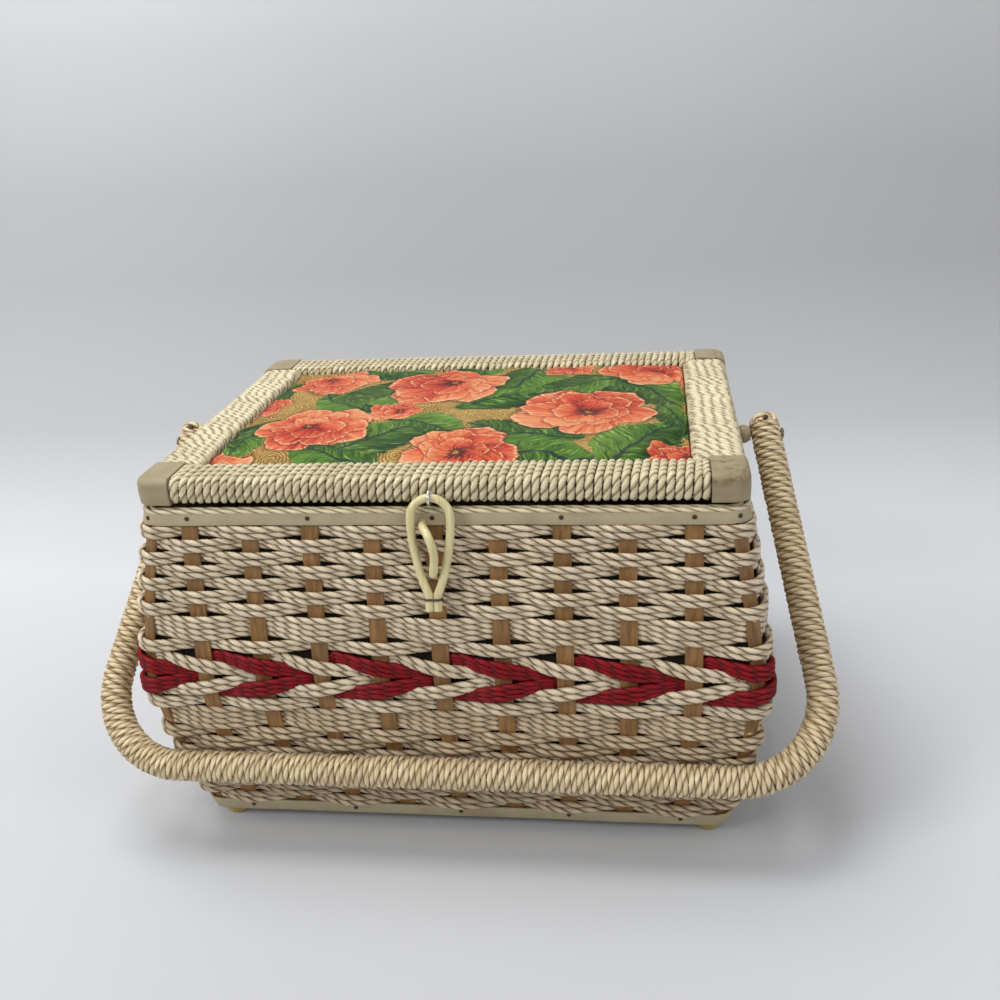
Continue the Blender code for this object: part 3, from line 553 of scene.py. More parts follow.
def tackPiece(name, spots, radius, rise=0.6):
    mesh = pathMesh(name, [[p for p, _ in spots]], False)
    facing = mesh.attributes.new("facing", "FLOAT_VECTOR", "POINT")
    facing.data.foreach_set("vector", np.array([tuple(n) for _, n in spots], np.float32).ravel())
    return grow(name, mesh, tackHeads, Head_Radius=radius, Head_Rise=rise, Material=finishes["tack"])


def turnedPiece(name, profile, start, direction, finish):
    # profile is (radius, height) up the direction; a radius of 0 gives one point
    steps = 40
    turn = Vector(direction).to_track_quat("Z", "Y").to_matrix()
    shape = bmesh.new()
    rings = []
    for radius, height in profile:
        angles = [2 * math.pi * i / steps for i in range(steps if radius else 1)]
        spots = [Vector((radius * math.cos(a), radius * math.sin(a), height)) for a in angles]
        rings.append([shape.verts.new(turn @ spot + Vector(start) + middle) for spot in spots])
    for low, high in zip(rings, rings[1:]):
        for i in range(steps):
            j = (i + 1) % steps
            corners = [low[i % len(low)], low[j % len(low)], high[j % len(high)], high[i % len(high)]]
            shape.faces.new(list(dict.fromkeys(corners)))
    return newPiece(name, toMesh(shape, name), finish)


def tubePiece(name, points, diameter, finish, sides, smoothSteps=8):
    # A round bar through the points, smoothed between them
    points = [Vector(p) for p in points]
    fine, last = [], len(points) - 1
    for i in range(last):
        a, b, c, d = points[max(i - 1, 0)], points[i], points[i + 1], points[min(i + 2, last)]
        bend, twist = 2 * a - 5 * b + 4 * c - d, 3 * b - a - 3 * c + d
        for k in range(smoothSteps):
            t = k / smoothSteps
            fine.append(0.5 * ((2 * b) + (c - a) * t + bend * t * t + twist * t ** 3))
    fine.append(points[-1])
    curve = bpy.data.curves.new(name, "CURVE")
    curve.dimensions = "3D"
    curve.bevel_depth = diameter / 2
    curve.bevel_resolution = max(1, sides // 4)
    curve.use_fill_caps = True
    spline = curve.splines.new("POLY")
    spline.points.add(len(fine) - 1)
    for target, point in zip(spline.points, fine):
        target.co = (*(point + middle), 1)
    source = bpy.data.objects.new(name + "Line", curve)
    bpy.context.scene.collection.objects.link(source)
    bpy.context.view_layer.update()
    return bakeModifiers(source, name, finish, True)


# The wall: the same sizes as the CAD, with the swell drawn as one smooth curve
wall = {
    "halfWidth": 0.1475, "halfDepth": 0.111, "corner": 0.0085, "cornerShare": 0.2, "cornerTurn": 28,
    "foot": 0.0078, "top": 0.1883, "bulge": 0.09805,
    "footSwell": -0.0075, "bulgeSwell": 0.0109, "rimSwell": -0.0021,
    "drawIn": 0.05, "frontStakes": 9, "sideStakes": 7, "frontPitch": 0.0305, "sidePitch": 0.028,
    "seam": 0.192,
}


def ease(t):
    return (t + math.sin(t * math.pi / 2)) / 2


def swellAt(z):
    if z <= wall["bulge"]:
        t = (z - wall["foot"]) / (wall["bulge"] - wall["foot"])
        return wall["footSwell"] + ease(t) * (wall["bulgeSwell"] - wall["footSwell"])
    t = (wall["top"] - z) / (wall["top"] - wall["bulge"])
    return wall["rimSwell"] + ease(t) * (wall["bulgeSwell"] - wall["rimSwell"])


def drawIn(z):
    t = min(1.0, (z - wall["foot"]) / (wall["bulge"] - wall["foot"]))
    return 1 - wall["drawIn"] * (1 - ease(t))


frontTurn = math.radians(wall["cornerTurn"])
sideTurn = math.pi / 2 - frontTurn
# Distance of a face from the middle, half its length, stakes, pitch, and how far round the corner its
# last stake stands; each side has its along and outward directions before these
frontSizes = (wall["halfDepth"], wall["halfWidth"], wall["frontStakes"], wall["frontPitch"], frontTurn)
endSizes = (wall["halfWidth"], wall["halfDepth"], wall["sideStakes"], wall["sidePitch"], sideTurn)
sides = (
    (xAxis, -yAxis, *frontSizes), (yAxis, xAxis, *endSizes),
    (-xAxis, yAxis, *frontSizes), (-yAxis, -xAxis, *endSizes))


def cornerAt(side, z):
    # Radius of the corners at a height, and half the flat between them
    radius = wall["corner"] + wall["cornerShare"] * swellAt(z)
    return radius, side[3] + swellAt(z) - radius


def onWall(side, distance, z, offset):
    along, outward, away = side[:3]
    radius, flat = cornerAt(side, z)
    turn = math.copysign(max(0.0, abs(distance) - flat) / radius, distance)
    straight = max(-flat, min(flat, distance))
    normal = outward * math.cos(turn) + along * math.sin(turn)
    centre = along * straight + outward * (away + swellAt(z) - radius)
    return centre + normal * (radius + offset) + zAxis * z, normal


def stakePlaces(side, z):
    # The corner stake before, the stakes, and the corner stake after
    radius, flat = cornerAt(side, z)
    corner = flat + radius * side[6]
    count, pitch = side[4], side[5] * drawIn(z)
    return [-corner] + [(i - (count - 1) / 2) * pitch for i in range(count)] + [corner]


def wallLoop(z, offset, arcSteps=6, straightSteps=1):
    # A ring round the wall at one height, anticlockwise from the front left
    found = []
    for side in sides:
        radius, flat = cornerAt(side, z)
        bend = radius * math.pi / 4
        places = [-flat - bend + bend * i / arcSteps for i in range(arcSteps)]
        places += [-flat + 2 * flat * i / straightSteps for i in range(straightSteps + 1)]
        places += [flat + bend * i / arcSteps for i in range(1, arcSteps)]
        found += [onWall(side, d, z, offset)[0] for d in places]
    return found


def weavePath(z, wave, parity, shape, seed, stepsEach=12):
    # One cord's way round the basket. shape(t, goesOut) gives (outward, up) between two stakes.
    chance = random.Random(seed)
    wobble = [
        (chance.uniform(0, 6.28), chance.choice((3, 5, 7, 11, 17, 23)), chance.uniform(0.3, 1))
        for _ in range(5)]
    path, index = [], -1
    total = 2 * (wall["frontStakes"] + wall["sideStakes"] + 2)
    for side in sides:
        places = stakePlaces(side, z)
        for start, end in zip(places, places[1:]):
            out = (index % 2 == 1) == parity
            for k in range(stepsEach):
                t = k / stepsEach
                outward, up = shape(t, out)
                turn = 2 * math.pi * (index + 1 + t) / total
                drift = sum(w * math.sin(turn * n + a) for a, n, w in wobble) * rows["wander"]
                point, _ = onWall(side, start + (end - start) * t, z, outward * wave)
                path.append(point + zAxis * (up + drift))
            index += 1
    return path


# Plain rows
rows = {
    "upperCords": (2, 2, 2, 2, 2, 2, 2, 4, 2), "middleCords": (2, 4), "lowRows": 8,
    "weaveTop": 0.182, "weaveBottom": 0.0145, "lowShare": 1.098, "wave": 0.0023, "radius": 0.00177,
    "twistPitch": 0.0155, "shadeBelow": 0.090, "squeeze": 0.14, "wander": 0.00006,
}
chevron = {
    "cords": 4, "wave": 0.0025, "redRadius": 0.00178, "redCount": 3, "creamRadius": 0.0020, "creamCount": 2,
    "drop": 1.66, "turnShare": 0.72, "redSpacing": 1.62, "creamSpacing": 1.84, "closing": 0.0006}
cordRise = (rows["weaveTop"] - rows["weaveBottom"]) / (
    sum(rows["upperCords"]) + 2 * chevron["cords"] + sum(rows["middleCords"])
    + rows["lowShare"] * 2 * rows["lowRows"])


def plainShape(offset, squeeze):
    def shape(t, out):
        sign = 1 if out else -1
        outward = sign * math.cos(math.pi * t)
        # pairs spread in front of a stake and close up behind one
        return outward, offset * (1 + squeeze * (outward - 0.4))
    return shape


def buildRow(number, high, cords, rise, overCorners):
    z = high - cords * rise / 2
    paths = []
    for k in range(cords):
        shape = plainShape((k - (cords - 1) / 2) * rise, rows["squeeze"] / max(1, cords / 2))
        paths.append(weavePath(z, rows["wave"], overCorners, shape, number * 10 + k))
    # rows below this height take the darker cord, painted shade on the lower wall
    finish = "shadedLowCord" if high < rows["shadeBelow"] else "wallCord"
    pitch = rows["twistPitch"] * (1 + 0.04 * math.sin(number * 2.1))
    piece = cordPiece(f"cordRow{number:02d}", paths, True, finish, rows["radius"], pitch)
    settle(piece, "basket", f"weave_row_{number:02d}")


def strandShape(offset, fall):
    # In front of its stake a strand slopes by the drop; behind the next it climbs back
    def shape(t, out):
        sign = 1 if out else -1
        outward = sign * math.cos(math.pi * t)
        fromFront = t if out else t - 1
        reach = chevron["turnShare"]
        slope = max(-reach, min(reach, fromFront))
        back = (abs(fromFront) - reach) / (1 - reach) if abs(fromFront) > reach else 0
        slope *= math.cos(math.pi / 2 * back)
        tight = 1 - 0.30 * (1 - abs(outward)) - 0.35 * max(0.0, -outward)
        return outward, -fall * slope * chevron["drop"] * cordRise + offset * tight
    return shape


def buildStrand(level, colour, z, fall, overCorners, finish, seed):
    radius, count = chevron[colour + "Radius"], chevron[colour + "Count"]
    spacing = chevron[colour + "Spacing"] * radius
    paths = []
    for k in range(count):
        shape = strandShape((k - (count - 1) / 2) * spacing, fall)
        paths.append(weavePath(z, chevron["wave"], overCorners, shape, seed + k, 16))
    piece = cordPiece(f"{level}{colour.title()}Strand", paths, True, finish, radius, rows["twistPitch"])
    settle(piece, "basket", f"chevron_{level}_{colour}")


def buildWeave():
    number, high = 0, rows["weaveTop"]

    def run(counts, rise):
        nonlocal number, high
        for i, cords in enumerate(counts):
            number += 1
            buildRow(number, high, cords, rise, i % 2 == 0)
            high -= cords * rise

    run(rows["upperCords"], cordRise)
    for level, fall in (("upper", 1), ("lower", -1)):
        z = high - chevron["cords"] * cordRise / 2 - fall * chevron["closing"]
        buildStrand(level, "red", z, fall, True, "redCord", 300 + 10 * fall)
        buildStrand(level, "cream", z, fall, False, "wallCord", 400 + 10 * fall)
        high -= chevron["cords"] * cordRise
    run(rows["middleCords"], cordRise)
    run([2] * rows["lowRows"], rows["lowShare"] * cordRise)


buildWeave()
print("wall woven")


# Stakes and the hoop that they are tacked to
splints = {
    "width": 0.0085, "cornerWidth": 0.0072, "thickness": 0.0012, "cornerInset": 0.0007, "hoopDepth": 0.0036,
    "hoopHeight": 0.0055, "clear": 0.0003, "bevel": 0.00025}


def buildStakes():
    shape = bmesh.new()
    levels = [wall["foot"] + (wall["top"] - wall["foot"]) * i / 30 for i in range(31)]
    half, bevel = splints["thickness"] / 2, splints["bevel"]
    for side in sides:
        for number in range(1, side[4] + 2):
            corner = number == side[4] + 1
            width = splints["cornerWidth"] if corner else splints["width"]
            inset = splints["cornerInset"] if corner else 0
            rings = []
            for z in levels:
                point, normal = onWall(side, stakePlaces(side, z)[number], z, -inset)
                across = normal.cross(zAxis) * width / 2
                edge = across * (1 - bevel / (width / 2))
                outline = (
                    across + normal * (half - bevel), edge + normal * half, -edge + normal * half,
                    -across + normal * (half - bevel), -across - normal * (half - bevel),
                    -edge - normal * half, edge - normal * half, across - normal * (half - bevel))
                rings.append([point + o for o in outline])
            addRings(shape, rings)
    piece = newPiece("stakes", toMesh(shape, "stakes"), "splint", False)
    settle(piece, "basket", "stake_frame")

    low, high = wall["top"] - splints["hoopHeight"], wall["top"] - splints["clear"]
    outer = -splints["thickness"] / 2 - 0.00005
    inner = outer - splints["hoopDepth"] + splints["clear"]
    rings = [wallLoop(low, outer), wallLoop(high, outer), wallLoop(high, inner), wallLoop(low, inner)]
    hoop = newPiece("rimHoop", skinRings("rimHoop", rings, closedAlong=True), "splint", False)
    settle(hoop, "basket")


# Covering strips, their tacks and the cord on the rim
trim = {
    "gap": 0.0003, "thickness": 0.0012, "rimLow": 0.1823, "rimHigh": 0.1883, "baseLow": 0.0075,
    "baseHigh": 0.0152, "tackRadius": 0.0012, "rimTackZ": 0.1858, "baseTackZ": 0.0118, "bevel": 0.00035,
    "waviness": 0.00012}
rimCord = {
    "radius": 0.00132, "rise": 0.0005, "out": 0.0012, "apart": 0.0031, "pitch": 0.0165, "step": 0.0011,
    "crease": 0.36}


def buildStrip(name, node, low, high):
    inner = splints["thickness"] / 2 + trim["gap"]
    outer = inner + trim["thickness"]
    bevel = trim["bevel"]
    outline = (
        (low + bevel, outer), (high - bevel, outer), (high - bevel * 0.3, outer - bevel * 0.3),
        (high, outer - bevel), (high, inner), (low, inner), (low, outer - bevel),
        (low + bevel * 0.3, outer - bevel * 0.3))
    rings = [wallLoop(z, offset, 10, 24) for z, offset in outline]
    chance = random.Random(5)
    waves = [(chance.uniform(0, 6.28), n, chance.uniform(0.4, 1)) for n in (7, 11, 17, 29)]
    count = len(rings[0])
    for ring in rings:
        for i, point in enumerate(ring):
            drift = sum(w * math.sin(2 * math.pi * i / count * n + a) for a, n, w in waves)
            ring[i] = point + zAxis * trim["waviness"] * drift
    piece = newPiece(name, skinRings(name, rings, closedAlong=True), "vinyl")
    settle(piece, "basket", node)


def buildTrim():
    buildStrip("rimStrip", "rim_strip", trim["rimLow"], trim["rimHigh"])
    buildStrip("baseStrip", "base_strip", trim["baseLow"], trim["baseHigh"])
    outer = splints["thickness"] / 2 + trim["gap"] + trim["thickness"]
    for name, z in (("rimTacks", trim["rimTackZ"]), ("baseTacks", trim["baseTackZ"])):
        spots = []
        for side in sides:
            places = stakePlaces(side, z)[1:-1]
            if side[4] == wall["frontStakes"]:
                # the rim strip has a tack on each front corner stake too
                picked = places[::2] + stakePlaces(side, z)[::10] * (name == "rimTacks")
            else:
                picked = places[1::2]
            spots += [onWall(side, d, z, outer) for d in picked]
        piece = tackPiece(name, spots, trim["tackRadius"])
        settle(piece, "basket")

    rise = zAxis * rimCord["rise"]
    offsets = (rimCord["out"], rimCord["out"] - rimCord["apart"])
    paths = [[p + rise for p in wallLoop(wall["top"], offset, 8, 60)] for offset in offsets]
    piece = cordPiece(
        "rimCordTwist", paths, True, "railCord", rimCord["radius"], rimCord["pitch"], rimCord["step"],
        rimCord["crease"])
    settle(piece, "basket", "rim_cord")


buildStakes()
buildTrim()
print("stakes and trim made")


# Base and feet
base = {"footX": 0.1305, "footY": 0.094, "footRadius": 0.0075, "footTop": 0.006}


def buildFeet():
    r, h = base["footRadius"], base["footTop"]
    profile = [
        (0, 0), (r * 0.74, 0), (r * 0.86, h * 0.04), (r * 0.95, h * 0.15), (r, h * 0.34), (r, h * 0.97),
        (r * 0.97, h), (0, h)]
    for end, sy in (("front", -1), ("rear", 1)):
        for hand, sx in (("left", -1), ("right", 1)):
            piece = turnedPiece(
                f"foot{end.title()}{hand.title()}", profile, (sx * base["footX"], sy * base["footY"], 0),
                zAxis, "amber")
            settle(piece, "basket", f"foot_{end}_{hand}")


buildFeet()
dressSolids("board", "base_board", "lid_board")


# Satin lining: gathered cloth round the wall, a quilted floor and a quilted pad under the lid
lining = {
    "card": -0.0049, "inset": 0.0056, "gather": 0.0006, "pleats": 150, "top": 0.1878, "bottom": 0.0130,
    "thickness": 0.0006, "cardThickness": 0.0003}


def buildLining():
    levels = [lining["bottom"] + (lining["top"] - lining["bottom"]) * i / 22 for i in range(23)]
    rings, count = [], 0
    for z in levels:
        ring = []
        loop = wallLoop(z, -lining["inset"], 10, 90)
        count = len(loop)
        for i, point in enumerate(loop):
            centre = Vector((0, 0, z))
            inward = (centre - point).normalized()
            edge = min(1.0, (z - lining["bottom"]) / 0.02, (lining["top"] - z) / 0.008 + 0.35)
            uneven, slanted = 1.3 * math.sin(i * 0.21), 0.5 * math.sin(z * 60 + i * 0.05)
            phase = 2 * math.pi * lining["pleats"] * i / count + uneven + slanted
            ring.append(point + inward * lining["gather"] * (0.55 + 0.45 * math.sin(phase)) * edge * 1.6)
        rings.append(ring)
    mesh = skinRings("liningCloth", rings, caps=False)
    piece = newPiece("liningCloth", mesh, "satin")
    shell = piece.modifiers.new("thickness", "SOLIDIFY")
    shell.thickness = lining["thickness"]
    shell.offset = 1
    piece = bakeModifiers(piece, "liningCloth", "satin", True)
    settle(piece, "basket", "lining")

    # Card behind the weave, near black: painted shade seen through the gaps between cords
    heights = [lining["bottom"] + (lining["top"] - lining["bottom"]) * i / 24 for i in range(25)]
    skins = [wallLoop(z, lining["card"]) for z in heights]
    skins += [wallLoop(z, lining["card"] - lining["cardThickness"]) for z in reversed(heights)]
    card = newPiece("liningCard", skinRings("liningCard", skins, closedAlong=True), "card")
    settle(card, "basket")


def padMesh(name, halfX, halfY, radius, low, high, crown, edgeRoll, across, deep, tufts):
    # A low pillow on a rounded rectangle: flat below, rolled edge, crowned top
    shape = bmesh.new()
    top, under = {}, {}
    for i in range(across + 1):
        for j in range(deep + 1):
            u, v = 2 * i / across - 1, 2 * j / deep - 1
            u, v = math.sin(u * math.pi / 2), math.sin(v * math.pi / 2)
            x, y = u * halfX, v * halfY
            cx, cy = max(0.0, abs(x) - (halfX - radius)), max(0.0, abs(y) - (halfY - radius))
            reach = math.hypot(cx, cy)
            if reach > 1e-9 and cx > 0 and cy > 0:
                push = max(cx, cy) / reach
                x = math.copysign(halfX - radius + cx * push, x)
                y = math.copysign(halfY - radius + cy * push, y)
            inset = min(halfX - abs(x), halfY - abs(y))
            if cx > 0 and cy > 0:
                inset = min(inset, radius - max(cx, cy))
            inset = max(0.0, inset)
            roll = math.sqrt(max(0.0, 1 - (1 - min(1.0, inset / edgeRoll)) ** 2))
            bow = crown * (1 - abs(u) ** 2.6) * (1 - abs(v) ** 2.6)
            ripple = tufts(x, y)
            z = low + (high - low) * (0.35 + 0.65 * roll) + (bow + ripple) * roll
            top[i, j] = shape.verts.new(Vector((x, y, z)) + middle)
            if i not in (0, across) and j not in (0, deep):
                under[i, j] = shape.verts.new(Vector((x, y, low)) + middle)
    for spot in top:
        if spot not in under:
            above = top[spot].co
            under[spot] = shape.verts.new(Vector((above.x, above.y, low + middle.z)))
    for i in range(across):
        for j in range(deep):
            shape.faces.new((top[i, j], top[i + 1, j], top[i + 1, j + 1], top[i, j + 1]))
            shape.faces.new((under[i, j], under[i, j + 1], under[i + 1, j + 1], under[i + 1, j]))
    edge = [(i, 0) for i in range(across)] + [(across, j) for j in range(deep)]
    edge += [(i, deep) for i in range(across, 0, -1)] + [(0, j) for j in range(deep, 0, -1)]
    for a, b in zip(edge, edge[1:] + edge[:1]):
        shape.faces.new((top[a], under[a], under[b], top[b]))
    return toMesh(shape, name)


pads = {
    "floorZ": 0.0131, "gap": 0.002, "tuftPitch": 0.062, "tuftDepth": 0.0014, "across": 96, "deep": 72,
    "lidHalfX": 0.136, "lidHalfY": 0.0995}


def buildInsidePads():
    z = pads["floorZ"]
    inward = swellAt(z) - lining["inset"] - pads["gap"]

    def quilt(x, y):
        a, b = ((x + sign * y) * math.pi / pads["tuftPitch"] for sign in (1, -1))
        return pads["tuftDepth"] * (math.sqrt(abs(math.sin(a) * math.sin(b))) - 0.5)

    grid = {"across": pads["across"], "deep": pads["deep"], "tufts": quilt}
    mesh = padMesh(
        "liningFloor", wall["halfWidth"] + inward, wall["halfDepth"] + inward, radius=0.006,
        low=z - 0.0002, high=z + 0.002, crown=0.0012, edgeRoll=0.006, **grid)
    floor = newPiece("liningFloor", mesh, "satin")
    settle(floor, "basket")

    mesh = padMesh(
        "lidLining", pads["lidHalfX"], pads["lidHalfY"], radius=0.012, low=0, high=0.0008, crown=0.0022,
        edgeRoll=0.005, **grid)
    under = newPiece("lidLining", mesh, "satin")
    flip = Matrix.Translation((0, 2 * middle.y, wall["seam"])) @ Matrix.Rotation(math.pi, 4, "X")
    under.data.transform(flip)
    settle(under, "lid", "lid_lining")


buildLining()
buildInsidePads()
print("lining made")


# Lid frame: cord wound round four rails, between vinyl covered corner blocks
lid = {
    "railWidth": 0.0258, "low": 0.1923, "high": 0.206, "coverLength": 0.018, "wrapPitch": 0.0041,
    "wrapRadius": 0.00205, "outerRound": 0.0036, "innerRound": 0.0018, "coverRadius": 0.0082,
    "coverRoll": 0.0036, "clear": 0.0003, "twistPitch": 0.0108, "step": 0.0013, "lean": 0.00035}


def railOutline():
    # Centre line of a wrap, (inward, height), from the outer lower edge upwards
    r = lid["wrapRadius"]
    left, right = r, lid["railWidth"] - r
    low, high = lid["low"] + r, lid["high"] - r
    outline = []

    def bend(cx, cz, radius, start):
        for i in range(6):
            a = start - math.pi / 2 * i / 5
            outline.append((cx + radius * math.cos(a), cz + radius * math.sin(a)))

    o, n = lid["outerRound"], lid["innerRound"]
    bend(left + n, low + n, n, 1.5 * math.pi)
    bend(left + o, high - o, o, math.pi)
    bend(right - n, high - n, n, math.pi / 2)
    bend(right - n, low + n, n, 0)
    return outline


def buildRail(name, node, side, half, seed):
    chance = random.Random(seed)
    outline = [Vector((a, b)) for a, b in railOutline()]
    turns = round(2 * half / lid["wrapPitch"]) - 1
    pitch = (2 * half - 2 * lid["wrapRadius"]) / turns
    path = []
    lengths = [0.0]
    loop = outline + outline[:1]
    for a, b in zip(loop, loop[1:]):
        lengths.append(lengths[-1] + (b - a).length)
    along, outward, away = side[:3]
    lean = 0.0
    reach = half - 0.75 * lid["wrapRadius"]
    for turn in range(-1, turns + 1):
        lean = 0.6 * lean + chance.uniform(-lid["lean"], lid["lean"])
        rise = chance.uniform(-0.00015, 0.00012)
        for i, spot in enumerate(outline):
            t = lengths[i] / lengths[-1]
            travel = -half + lid["wrapRadius"] + pitch * (turn + t) + lean * math.sin(math.pi * t)
            travel = max(-reach, min(reach, travel))
            path.append(
                along * travel + outward * (away - spot.x + rise * math.sin(math.pi * t)) + zAxis * spot.y)
    piece = cordPiece(name, [path], False, "railCord", lid["wrapRadius"], lid["twistPitch"], lid["step"])
    settle(piece, "lid", node)

    # The core inside its wraps, in cord colour darkened as painted shade where it shows between them
    inset = 2 * lid["wrapRadius"] * 0.8
    block = []
    for travel in (-half + 0.0004, half - 0.0004):
        block.append([
            along * travel + outward * (away - x) + zAxis * z
            for x, z in (
                (inset, lid["low"] + inset), (inset, lid["high"] - inset - 0.002),
                (inset + 0.002, lid["high"] - inset), (lid["railWidth"] - inset, lid["high"] - inset),
                (lid["railWidth"] - inset, lid["low"] + inset))])
    core = newPiece(name + "Core", skinRings(name + "Core", block), "coreCord", False)
    settle(core, "lid")


def buildCover(name, node, sx, sy):
    # Vinyl pulled over a corner block: its outer corner and every edge are rolled
    radius, roll, hem = lid["coverRadius"], lid["coverRoll"], 0.0009
    hx, hy = wall["halfWidth"], wall["halfDepth"]
    ix, iy = hx - lid["coverLength"] + 0.0002, hy - lid["railWidth"] + 0.0002
    low, high = lid["low"], lid["high"]
    levels = [(low, hem)] + [
        (low + hem * (1 - math.cos(a)), hem * (1 - math.sin(a)))
        for a in (i * math.pi / 8 for i in range(1, 5))]
    levels += [(low + hem + (high - roll - low - hem) * i / 3, -0.00012 * (i in (1, 2))) for i in (1, 2)]
    levels += [
        (high - roll + roll * math.sin(a), roll * (1 - math.cos(a)))
        for a in (i * math.pi / 16 for i in range(8))]
    rings = []
    for z, inset in levels:
        ox, oy, r = hx - inset, hy - inset, radius - inset * 0.6
        ring = [(ix, iy), (ox, iy)]
        ring += [
            (ox - r + r * math.cos(a), oy - r + r * math.sin(a))
            for a in (i / 10 * math.pi / 2 for i in range(11))]
        ring += [(ix, oy)]
        rings.append([Vector((sx * x, sy * y, z)) for x, y in ring])
    piece = newPiece(name, skinRings(name, rings), "coverVinyl")
    piece.data.set_sharp_from_angle(angle=math.radians(50))
    settle(piece, "lid", node)


def buildLidFrame():
    frontHalf = wall["halfWidth"] - lid["coverLength"] - lid["clear"]
    sideHalf = wall["halfDepth"] - lid["railWidth"] - lid["clear"]
    halves = {"front": frontHalf, "right": sideHalf, "rear": frontHalf, "left": sideHalf}
    for i, (label, half) in enumerate(halves.items()):
        buildRail(f"{label}RailWrap", f"lid_rail_{label}", sides[i], half, 20 + i)
    for end, sy in (("front", -1), ("rear", 1)):
        for hand, sx in (("left", -1), ("right", 1)):
            buildCover(f"cover{end.title()}{hand.title()}", f"lid_corner_{end}_{hand}", sx, sy)


buildLidFrame()
print("lid frame made")


# Padded panel with a printed cloth of blooms and leaves
panel = {
    "halfX": 0.1215, "halfY": 0.085, "radius": 0.006, "low": 0.1978, "edge": 0.2032, "crown": 0.0018,
    "roll": 0.004, "pressure": 4.0, "frames": 20, "cap": 0.002, "heldBelow": 0.0015, "ripple": 0.00025}
# The print is our own: layered roses, buds and pointed leaves, as (x, y, size, turn) from the panel's middle
blooms = (
    (-0.080, -0.034, 0.034, 0.6), (-0.014, 0.040, 0.037, 2.2), (0.070, -0.018, 0.039, 4.0),
    (-0.092, 0.058, 0.029, 1.3), (0.108, 0.064, 0.032, 3.1), (0.006, -0.074, 0.031, 5.2),
    (0.052, 0.072, 0.017, 0.9), (-0.036, -0.012, 0.015, 3.7), (-0.122, 0.006, 0.019, 4.6),
    (0.122, -0.078, 0.024, 2.6), (-0.118, -0.082, 0.022, 1.9))
leaves = (
    (-0.052, 0.022, 0.036, 2.5), (-0.048, 0.070, 0.032, 0.4), (0.026, 0.012, 0.036, 5.9),
    (0.030, 0.048, 0.034, 1.9), (0.098, 0.026, 0.040, 0.9), (0.062, 0.034, 0.030, 2.6),
    (-0.040, -0.052, 0.038, 5.5), (-0.060, -0.074, 0.030, 3.6), (-0.112, -0.048, 0.030, 2.1),
    (-0.126, 0.034, 0.030, 5.0), (0.036, -0.050, 0.034, 3.5), (0.050, -0.076, 0.032, 0.2),
    (0.096, -0.062, 0.036, 5.2), (0.120, -0.028, 0.028, 1.2), (-0.014, -0.036, 0.028, 0.6),
    (0.086, 0.080, 0.028, 3.4), (-0.002, 0.078, 0.026, 1.2), (-0.072, 0.004, 0.026, 3.9))


def makeNearest():
    # Keeps whichever motif is nearer, as its own x and y and how far off it is
    tree, given, out = startGroup(
        "nearestMotif",
        [("Place", "Vector", None), ("Centre", "Vector", None), ("Turn", "Float", 0.0),
         ("Size", "Float", 0.03), ("Narrow", "Float", 1.0), ("Found", "Vector", None)],
        [("Found", "Vector")],
    )
    local = vecCalc("SUBTRACT", given["Place"], given["Centre"])
    turned = addNode(
        "ShaderNodeVectorRotate", {"Vector": local, "Angle": given["Turn"]}, rotation_type="Z_AXIS")[0]
    x, y, _ = split(vecCalc("SCALE", turned, scale=1.0 / given["Size"]))
    away = vecCalc("LENGTH", combine(x, y * given["Narrow"], 0.0))
    nearer = calc("LESS_THAN", away, split(given["Found"])[2])
    choice = {0: nearer, 4: given["Found"], 5: combine(x, y, away)}
    feed(out["Found"], addNode("ShaderNodeMix", choice, data_type="VECTOR")[1])
    return tree


nearestMotif = makeNearest()


def paintBlooms(found, drift, under):
    # Three rounds of petals, painted in strokes, about an eye that sits off the middle
    x, y, radius = split(found)
    angle = calc("ARCTAN2", y, x)
    lean = calc("COSINE", angle)
    shaded = calc("COSINE", angle + 1.1) * 0.13
    colour = under
    for petals, share, phase, sway in ((5, 1.0, 0.0, 0.15), (6, 0.75, 1.1, 0.24), (4, 0.48, 2.0, 0.10)):
        lobe = calc("ABSOLUTE", calc("COSINE", angle * (petals / 2) + phase))
        lobe = calc("POWER", lobe, 0.7)
        frill = calc("SINE", angle * (3 + 2 * petals)) * 0.018
        # q is 1 on the edge of the round
        q = radius / ((lobe * 0.28 + 0.72 + frill) * (lean * sway + share))
        bendy = angle + q * 0.35
        reach, depth = 5.5 * share, q * 0.9 + drift * (2.0 + phase)
        strokePlace = combine(calc("COSINE", bendy) * reach, calc("SINE", bendy) * reach, depth)
        strokes = noise(strokePlace, 1.6, 3.0, 0.65)
        lines = noise(strokePlace, 3.6, 2.0, 0.6)
        fold = (1.0 - lobe) * 0.24
        tone = q * 0.36 - fold + strokes * 0.98 - shaded
        petal = ramp(tone, (
            (0.34, (0.19, 0.006, 0.008)), (0.48, (0.40, 0.026, 0.018)), (0.61, (0.57, 0.070, 0.034)),
            (0.76, (0.66, 0.140, 0.066)), (0.92, (0.74, 0.29, 0.150))))
        petal = mixColour(between(lines, 0.61, 0.69, 0, 0.6), petal, (0.76, 0.34, 0.20))
        petal = mixColour(between(lines, 0.38, 0.31, 0, 0.6), petal, (0.30, 0.014, 0.018))
        # a dark fringe outside each round, a pale lip on it
        dark = mixColour(1.0, colour, (0.40, 0.16, 0.15), "MULTIPLY")
        colour = mixColour(between(q, 1.12, 1.0, 0, 0.6), colour, dark)
        lip = between(q, 0.91, 0.975) * between(lines, 0.42, 0.56)
        petal = mixColour(lip, petal, (0.83, 0.50, 0.34))
        colour = mixColour(between(q, 1.0, 0.97), colour, petal)
    eye = radius + calc("SINE", angle * 11.0) * 0.04
    colour = mixColour(between(eye, 0.17, 0.11, 0, 0.9), colour, (0.055, 0.008, 0.012))
    return mixColour(between(radius, 0.06, 0.035, 0, 0.8), colour, (0.50, 0.22, 0.06))


